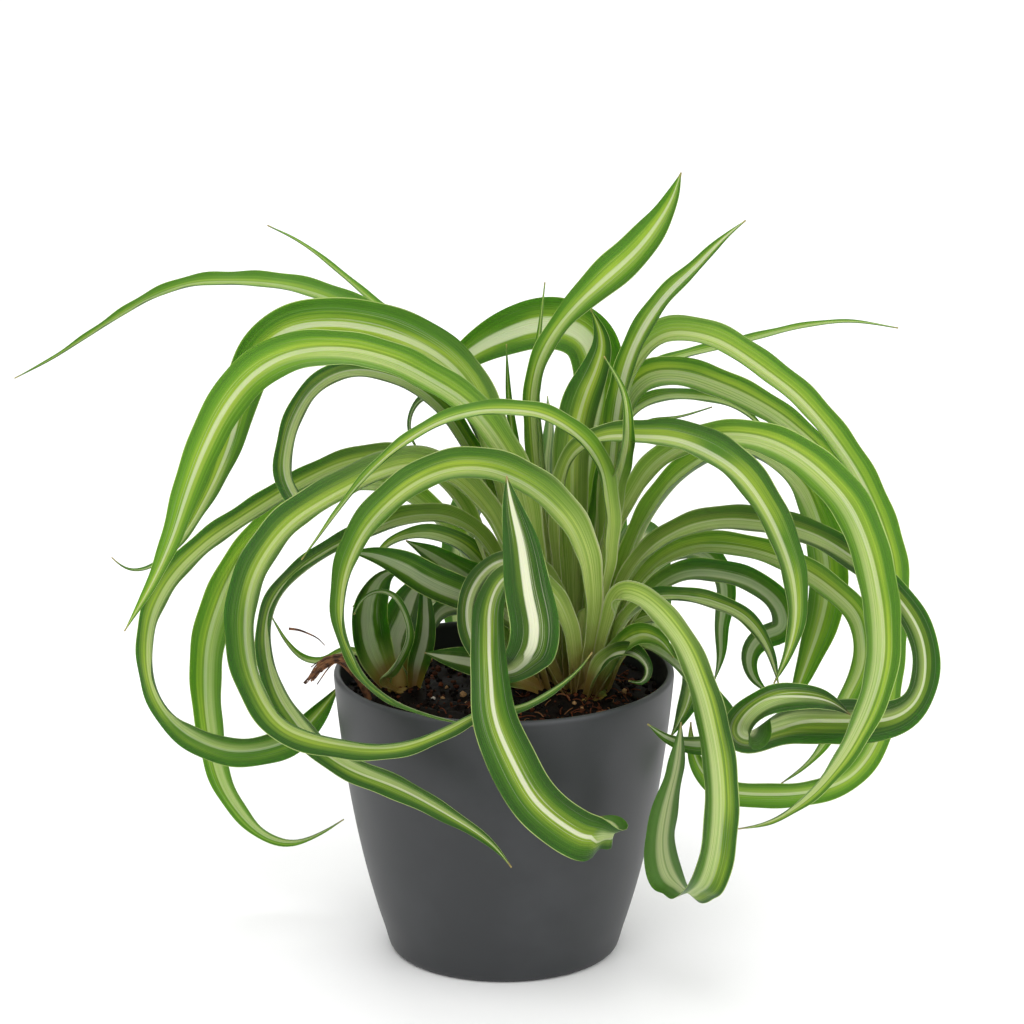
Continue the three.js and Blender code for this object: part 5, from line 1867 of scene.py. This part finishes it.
@dataclass
class Crown:
    """The clasping leaf bases of one plant, on the rootstock that they grow from.

    A ring is (share of the radius, height above the soil), for a bud as a share of its height.
    """

    name: str
    middle: Span
    radius: float
    stretch: float
    buds: tuple[Stand, ...]
    groups: tuple[LeafGroup, ...]
    look: Look
    facets: int = 32
    sharp: float = 40.0
    rootstock_rings: tuple[Span, ...] = ((0.6, -14.0), (1.0, -5.6), (1.0, 0.36), (0.7, 1.2))
    bud_rings: tuple[Span, ...] = (
        (1.0, 0.0), (1.05, 0.25), (0.9, 0.5), (0.7, 0.7), (0.3, 0.97), (0.1, 1.0)
    )

    def build(self, materials: dict[Look, Material]) -> None:
        """Builds the crown with every sheath that grows from it, in the place of its solid.

        Args:
            materials: The leaves' finishes.
        """
        own = materials[self.look]
        parts = [self.rootstock(own), *(self.bud(stand, own) for stand in self.buds)]
        for group in self.groups:
            for blade in group.blades:
                sheath = blade.base(f"{blade.leaf.name}_sheath")
                sheath.data.materials.append(materials[blade.leaf.look])
                parts.append(sheath)
        hand_over(join_pieces(parts, f"{self.name}_clasped"), node=self.name)

    def rootstock(self, material: Material) -> Piece:
        """Turns the stocky base that lies in the soil.

        Args:
            material: Its finish.

        Returns:
            The rootstock.
        """
        profile = [(self.radius * wide, SOIL_LEVEL + high) for wide, high in self.rootstock_rings]
        body = turned_body(f"{self.name}_rootstock", profile, self.facets)
        return self.place(body, self.middle, self.stretch, material)

    def bud(self, stand: Stand, material: Material) -> Piece:
        """Turns a bud of folded young leaves.

        Args:
            stand: Where it stands, its radius and its height, in millimetres.
            material: Its finish.

        Returns:
            The bud.
        """
        x, y, r, h = stand
        profile = [(r * wide, SOIL_LEVEL + h * high) for wide, high in self.bud_rings]
        body = turned_body(f"{self.name}_bud", profile, self.facets)
        return self.place(body, (x, y), 1.0, material)

    def place(self, body: Piece, middle: Span, stretch: float, material: Material) -> Piece:
        """Moves a turned body to its middle and dresses it.

        Args:
            body: The body, turned about the pot's axis.
            middle: Where it stands, in millimetres.
            stretch: How much wider than deep it is.
            material: Its finish.

        Returns:
            The same body.
        """
        points = get_points(body) * (stretch, 1.0, 1.0)
        set_points(body, points + np.array((*middle, 0.0)) * MM)
        body.data.uv_layers[0].name = "blade"
        body.data.materials.append(material)
        smooth(body, self.sharp)
        return body


@dataclass
class Pot:
    """The tapered plastic pot, with a rounded heel and a thin rolled lip."""

    wall: float = 2.8
    facets: int = 160
    foot_radius: float = 30.0
    heel: tuple[Span, ...] = ((44, 0), (48, 0), (48, 3), (50, 10))
    heel_steps: int = 8
    side: tuple[Span, ...] = ((50, 10), (58, 34), (66, 70), (70, 118))
    side_steps: int = 30
    lip: tuple[Span, ...] = (
        (69.95, 118.7), (69.6, 119.5), (69.1, 119.9), (68.5, 120), (67.9, 119.9), (67.45, 119.5),
        (67.25, 118.8),
    )
    floor: tuple[Span, ...] = ((46.4, 7.5), (44.8, 5.2), (42.6, 4.2), (39, 4), (20, 4), (4, 4))
    sharp: float = 50.0

    def side_radius(self, height: float) -> float:
        """Gives the outside radius at a height, in millimetres."""
        rows = np.array(bezier(self.side, 2 * self.side_steps))
        return float(np.interp(height, rows[:, 1], rows[:, 0]))

    def build(self) -> None:
        """Turns the shell from foot to lip and down inside to its floor."""
        outside = bezier(self.side, self.side_steps)
        inside = [(radius - self.wall, height) for radius, height in reversed(outside)]
        heel = bezier(self.heel, self.heel_steps)
        profile = [(self.foot_radius, 0.0), *heel, *outside[1:], *self.lip, *inside, *self.floor]
        piece = turned_body("pot_shell", profile, self.facets)
        smooth(piece, self.sharp)
        hand_over(piece, PotFinish().build(), "pot")


@dataclass
class Soil:
    """The potting soil, lumpy on top, with the crumbs, chips and fibres that lie on it.

    A wave is (radians per millimetre outwards, waves round the pot), and a lump is (height, size,
    layer of the noise). Chances are (shade, how often), and shades run from peat, 0, to pale
    grit, 1.
    """

    pot: Pot
    chance: random.Random
    unevenness: float = 0.95
    long_wave: Span = (0.31, 2.0)
    cross_wave: Span = (-0.17, 3.0)
    short_wave: Span = (0.5, 7.0)
    short_share: float = 0.6
    mounds: tuple[Stand, ...] = ((26.5, 1, 22, 2.6), (-43, 4, 14, 2.4))
    mound_power: float = 4.0
    dish: float = 2.5
    lumps: tuple[Point, ...] = ((1.1, 3.1, 0.0), (0.6, 1.3, 7.0))
    sinking: float = 0.2
    foot: tuple[Span, ...] = ((39.95, 4.35), (43.95, 8))
    wall_start: float = 12.0
    wall_rings: int = 16
    edge_height: float = 107.0
    edge_bevel: float = 0.6
    play: float = 3.15
    facets: int = 120
    top_rings: int = 44
    sharp: float = 60.0
    crumbs: int = 1100
    crumb_margin: float = 1.5
    crumb_sizes: Span = (0.4, 1.5)
    crumb_squash: Span = (0.6, 1.2)
    crumb_chips: float = 0.15
    crumb_lift: float = 0.25
    crumb_chances: Keys = ((0.1, 62), (0.45, 28), (0.62, 5), (0.78, 3), (1.0, 1))
    pebble: tuple[Span, float, float] = ((23.0, -50.0), 3.0, 0.78)
    fibres: int = 150
    fibre_margin: float = 9.0
    fibre_lengths: Span = (3.0, 8.0)
    fibre_bends: Span = (-2.0, 2.0)
    fibre_radii: Span = (0.12, 0.3)
    fibre_points: int = 6
    fibre_lift: float = 0.9
    fibre_droop: float = 2.0
    fibre_shades: tuple[float, ...] = (0.5, 0.6, 0.66, 0.72)

    @property
    def edge_radius(self) -> float:
        """The radius of the soil where its side ends."""
        return self.pot.side_radius(self.edge_height) - self.play

    def height(self, x: np.ndarray, y: np.ndarray) -> np.ndarray:
        """Gives the height of the soil's top.

        Args:
            x: Places across, in millimetres.
            y: Places in depth, in millimetres.

        Returns:
            The height at each place, in millimetres.
        """
        r, a = np.hypot(x, y), np.arctan2(x, -y)
        kinds = (self.long_wave, self.cross_wave, self.short_wave)
        long, cross, short = (outwards * r + around * a for outwards, around in kinds)
        waves = np.sin(long) * np.cos(cross) + self.short_share * np.sin(short)
        mounds = sum(
            high * np.exp(-((np.hypot(x - cx, y - cy) / reach) ** self.mound_power))
            for cx, cy, reach, high in self.mounds
        )
        dish = self.dish * (r / self.pot.lip[0][0]) ** 2
        return SOIL_LEVEL + self.unevenness * waves + mounds - dish

    def build(self) -> None:
        """Builds the soil and everything that lies on it."""
        material = DAMP_PEAT.build()
        self.build_bed(material)
        self.build_crumbs(material)
        self.build_fibres(material)

    def build_bed(self, material: Material) -> None:
        """Turns the body of soil and roughens its top.

        Args:
            material: Its finish.
        """
        heights = np.linspace(self.wall_start, self.edge_height, self.wall_rings)
        walls = [(self.pot.side_radius(z) - self.play, z) for z in heights]
        radii = np.linspace(self.edge_radius - self.edge_bevel, 1.0, self.top_rings)
        rings = [(radius, SOIL_LEVEL) for radius in radii]
        piece = turned_body("soil_bed", [*self.foot, *walls, *rings], self.facets)
        points = get_points(piece)
        top = points[:, 2] > (self.edge_height + SOIL_LEVEL) / 2 * MM
        x, y = points[top, 0] / MM, points[top, 1] / MM
        rough = [
            sum(
                high * noise.noise(Vector((a / size, b / size, layer)))
                for high, size, layer in self.lumps
            )
            for a, b in zip(x, y)
        ]
        points[top, 2] = (self.height(x, y) + np.array(rough) - self.sinking) * MM
        set_points(piece, points)
        set_attribute(piece, "shade", 0.0)
        smooth(piece, self.sharp)
        hand_over(piece, material, "soil")

    def spot(self, margin: float) -> Span:
        """Picks a chance spot on the soil.

        Args:
            margin: How far in from the pot's side it keeps, in millimetres.

        Returns:
            The spot, as places across and in depth.
        """
        radius = (self.edge_radius - margin) * math.sqrt(self.chance.random())
        angle = self.chance.uniform(0, 2 * math.pi)
        return radius * math.sin(angle), -radius * math.cos(angle)

    def build_crumbs(self, material: Material) -> None:
        """Scatters crumbs of peat, wood chips and pale grit, and one small tan pebble.

        Args:
            material: Their finish.
        """
        clear_selection()
        bpy.ops.mesh.primitive_ico_sphere_add(subdivisions=1, radius=MM)
        first = bpy.context.object
        shades, weights = zip(*self.crumb_chances)
        parts = []
        for _ in range(self.crumbs):
            spot = self.spot(self.crumb_margin)
            size = self.chance.uniform(*self.crumb_sizes)
            shade = self.chance.choices(shades, weights)[0]
            parts.append(self.crumb(first, spot, size, shade))
        parts.append(self.crumb(first, *self.pebble))
        select_only(first)
        bpy.ops.object.delete()
        hand_over(join_pieces(parts, "soil_crumbs"), material)

    def crumb(self, first: Piece, spot: Span, size: float, shade: float) -> Piece:
        """Lays one crumb on the soil, squashed and turned its own way.

        Args:
            first: The crumb that is copied.
            spot: Where it lies, in millimetres.
            size: Its radius in millimetres.
            shade: Its shade.

        Returns:
            The crumb.
        """
        piece = first.copy()
        piece.data = first.data.copy()
        bpy.context.collection.objects.link(piece)
        points = get_points(piece) / MM
        points *= [self.chance.uniform(*self.crumb_squash) * size for _ in range(3)]
        chip = self.crumb_chips
        points += [[self.chance.uniform(-chip, chip) * size for _ in range(3)] for _ in points]
        angle = self.chance.uniform(0, math.pi)
        c, s = math.cos(angle), math.sin(angle)
        turn = np.array(((c, -s, 0), (s, c, 0), (0, 0, 1)))
        ground = float(self.height(*np.array(spot)))
        points = points @ turn.T + (*spot, ground + self.crumb_lift * size)
        set_points(piece, points * MM)
        set_attribute(piece, "shade", shade)
        return piece

    def build_fibres(self, material: Material) -> None:
        """Strews thin reddish fibres, more of them towards the right.

        Args:
            material: Their finish.
        """
        parts = [self.fibre(number) for number in range(self.fibres)]
        hand_over(join_pieces(parts, "soil_fibres"), material)

    def fibre(self, number: int) -> Piece:
        """Lays one bent fibre on the soil, at the spot furthest right of three.

        Args:
            number: The fibre's number.

        Returns:
            The fibre.
        """
        x, y = max(self.spot(self.fibre_margin) for _ in range(3))
        angle = self.chance.uniform(0, math.pi)
        reach = self.chance.uniform(*self.fibre_lengths)
        bend = self.chance.uniform(*self.fibre_bends)
        c, s = math.cos(angle), math.sin(angle)
        steps = np.linspace(-0.5, 0.5, self.fibre_points)
        line_x = x + steps * reach * c - bend * steps**2 * s
        line_y = y + steps * reach * s + bend * steps**2 * c
        line_z = self.height(line_x, line_y) + self.fibre_lift - self.fibre_droop * steps**2
        points = np.stack((line_x, line_y, line_z), axis=1)
        radii = np.full(self.fibre_points, self.chance.uniform(*self.fibre_radii))
        piece = strand(f"fibre_{number}", points, radii)
        set_attribute(piece, "shade", self.chance.choice(self.fibre_shades))
        return piece


@dataclass
class RootTuft:
    """The shaggy tuft of old roots that lies over the rim.

    Roots start close together and open out along the tuft, each to its own side.
    """

    chance: random.Random
    route: tuple[Point, ...] = (
        (-55, 97, -9), (-58, 105, -10), (-63, 114, -11), (-69, 119, -11), (-76, 116, -10),
        (-83, 108, -8),
    )
    strands: int = 60
    points: int = 14
    spread: float = 3.8
    spread_shares: Span = (0.02, 1.0)
    openings: Point = (0.7, 1.0, 0.6)
    closed: float = 0.15
    opening_power: float = 1.5
    lengths: Span = (0.65, 0.97)
    waver: float = 0.9
    waver_turns: float = 9.0
    radii: Span = (0.4, 1.15)
    taper: float = 0.6

    def build(self, material: Material) -> None:
        """Builds every root and joins them in the place of the solid.

        Args:
            material: Their finish.
        """
        line = Route(self.route)
        parts = [self.root(line, number) for number in range(self.strands)]
        hand_over(join_pieces(parts, "root_tuft_shag"), material, "root_tuft")

    def root(self, line: Route, number: int) -> Piece:
        """Builds one thin, wavering root.

        Args:
            line: The tuft's middle line.
            number: The root's number.

        Returns:
            The root.
        """
        share = np.linspace(0, self.chance.uniform(*self.lengths), self.points)
        phase = self.chance.uniform(0, 2 * math.pi)
        out = math.sqrt(self.chance.uniform(*self.spread_shares)) * self.spread
        aim = np.array((math.cos(3 * phase), math.sin(phase), math.cos(phase))) * self.openings
        opened = (self.closed + share**self.opening_power)[:, None]
        bends = [self.chance.uniform(0, 2 * math.pi) for _ in range(3)]
        waves = [np.sin(self.waver_turns * share + bend) for bend in bends]
        waver = np.stack(waves, axis=1) * self.waver * share[:, None]
        thin = 1 - self.taper * np.linspace(0, 1, self.points)
        radii = self.chance.uniform(*self.radii) * thin
        return strand(f"root_{number}", line.point(share) + aim * out * opened + waver, radii)


@dataclass
class DryStrips:
    """Two thin, dried strips that stand at the left of the soil."""

    routes: tuple[tuple[Point, ...], ...] = (
        ((-90, 131, 4), (-86, 130.5, 3), (-82, 129, 2), (-78, 127, 2), (-75, 124, 2)),
        ((-63, 140, 6), (-60.5, 143.5, 6), (-58, 146, 5), (-54, 150, 5), (-50, 153, 4)),
    )
    radius: float = 0.6
    taper: float = 0.7
    points: int = 20

    def build(self, material: Material) -> None:
        """Builds the strips.

        Args:
            material: Their finish.
        """
        share = np.linspace(0, 1, self.points)
        radii = self.radius * (1 - self.taper * share)
        parts = []
        for number, route in enumerate(self.routes):
            parts.append(strand(f"strip_{number}", Route(route).point(share), radii))
        hand_over(join_pieces(parts, "dry_strips"), material)


@dataclass(frozen=True)
class Lamp:
    """A soft square light: its place and the length of its sides in metres, its power in watts."""

    name: str
    place: Point
    size: float
    power: float

    def hang(self, target: Point) -> None:
        """Hangs the light.

        Args:
            target: What it points at, in metres.
        """
        clear_selection()
        bpy.ops.object.light_add(type="AREA", location=self.place)
        lamp = bpy.context.object
        lamp.name = self.name
        lamp.data.size = self.size
        lamp.data.energy = self.power
        away = Vector(self.place) - Vector(target)
        lamp.rotation_euler = away.to_track_quat("Z", "Y").to_euler()


@dataclass
class Studio:
    """A plain white floor, soft light from above and a camera at the photo's angle."""

    floor_size: float = 9.0
    paper: Colour = srgb(250, 250, 250)
    paper_shade: Colour = srgb(246, 246, 246)
    paper_clouds: Span = (3.0, 2.0)
    paper_fade: Fade = Fade(0.2, 0.8)
    paper_roughness: float = 0.9
    paper_glow: float = 0.004
    white: Colour = (1.0, 1.0, 1.0, 1.0)
    world_strength: float = 0.95
    target: Point = (0.0, 0.0, 0.15)
    lamps: tuple[Lamp, ...] = (
        Lamp("key", (-0.3, -1.4, 2.1), 1.4, 16.0),
        Lamp("fill", (1.3, -1.2, 1.3), 1.4, 9.0),
        Lamp("front", (0.0, -2.4, 0.8), 1.6, 9.0),
        Lamp("back", (0.0, 1.3, 1.9), 1.4, 15.0),
    )

    def build(self) -> None:
        """Builds the floor, the lights, the world and the camera."""
        self.build_floor()
        for lamp in self.lamps:
            lamp.hang(self.target)
        self.build_world()
        self.aim_camera()

    def build_floor(self) -> None:
        """Lays the floor."""
        clear_selection()
        bpy.ops.mesh.primitive_plane_add(size=self.floor_size, location=(0, 0, 0))
        floor = bpy.context.object
        floor.name = "floor"
        material, nodes, shader = new_material("floor_paper")
        cloud = nodes.fade(nodes.noise(nodes.where(), *self.paper_clouds), self.paper_fade)
        colour = nodes.mix(cloud, self.paper_shade, self.paper)
        nodes.feed(shader.inputs["Base Color"], colour)
        shader.inputs["Roughness"].default_value = self.paper_roughness
        shader.inputs["Emission Color"].default_value = self.white
        shader.inputs["Emission Strength"].default_value = self.paper_glow
        floor.data.materials.append(material)
        LOG.info("%s: under the pot", floor.name)

    def build_world(self) -> None:
        """Surrounds everything with even white light."""
        world = bpy.data.worlds.new("studio")
        world.use_nodes = True
        background = world.node_tree.nodes["Background"]
        background.inputs["Color"].default_value = self.white
        background.inputs["Strength"].default_value = self.world_strength
        bpy.context.scene.world = world

    def aim_camera(self) -> None:
        """Sets the camera where the photo was taken from."""
        clear_selection()
        tilt = math.pi / 2 - EYE_PITCH
        bpy.ops.object.camera_add(location=tuple(EYE * MM), rotation=(tilt, 0, 0))
        camera = bpy.context.object
        camera.data.lens = LENS
        camera.data.sensor_width = SENSOR_WIDTH
        bpy.context.scene.camera = camera
        bpy.context.scene.view_settings.view_transform = "Standard"


def main() -> None:
    """Builds the plant, one sub-assembly after another."""
    logging.basicConfig(level=logging.INFO, format="%(message)s")
    chance = random.Random(SEED)
    pattern = LeafPattern()
    materials = {look: finish.build(pattern) for look, finish in LEAF_FINISHES.items()}
    tables = (LEFT_LEAVES, FRONT_LEAVES, RIGHT_LEAVES, UPRIGHT_LEAVES, BACK_LEAVES)
    main_groups = tuple(LeafGroup(leaves) for leaves in tables)
    offset_groups = (LeafGroup(OFFSET_LEAVES),)
    for group in main_groups + offset_groups:
        group.draw(chance)
        group.build(materials)
    crowns = (
        Crown(
            "crown", middle=(26.5, 1), radius=18, stretch=1.06,
            buds=((33, 2, 8.5, 34), (18, 4, 6.5, 30)), groups=main_groups, look=Look.FRESH,
        ),
        Crown(
            "crown_offset", middle=(-43, 4), radius=9.5, stretch=1.0,
            # The deep green finish also paints the offset crown's shade.
            buds=((-43, 3, 4, 10),), groups=offset_groups, look=Look.DEEP_SHADED,
        ),
    )
    for crown in crowns:
        crown.build(materials)
    pot = Pot()
    pot.build()
    Soil(pot, chance).build()
    roots = DRY_ROOTS.build()
    RootTuft(chance).build(roots)
    DryStrips().build(roots)
    Studio().build()


if __name__ == "__main__":
    main()
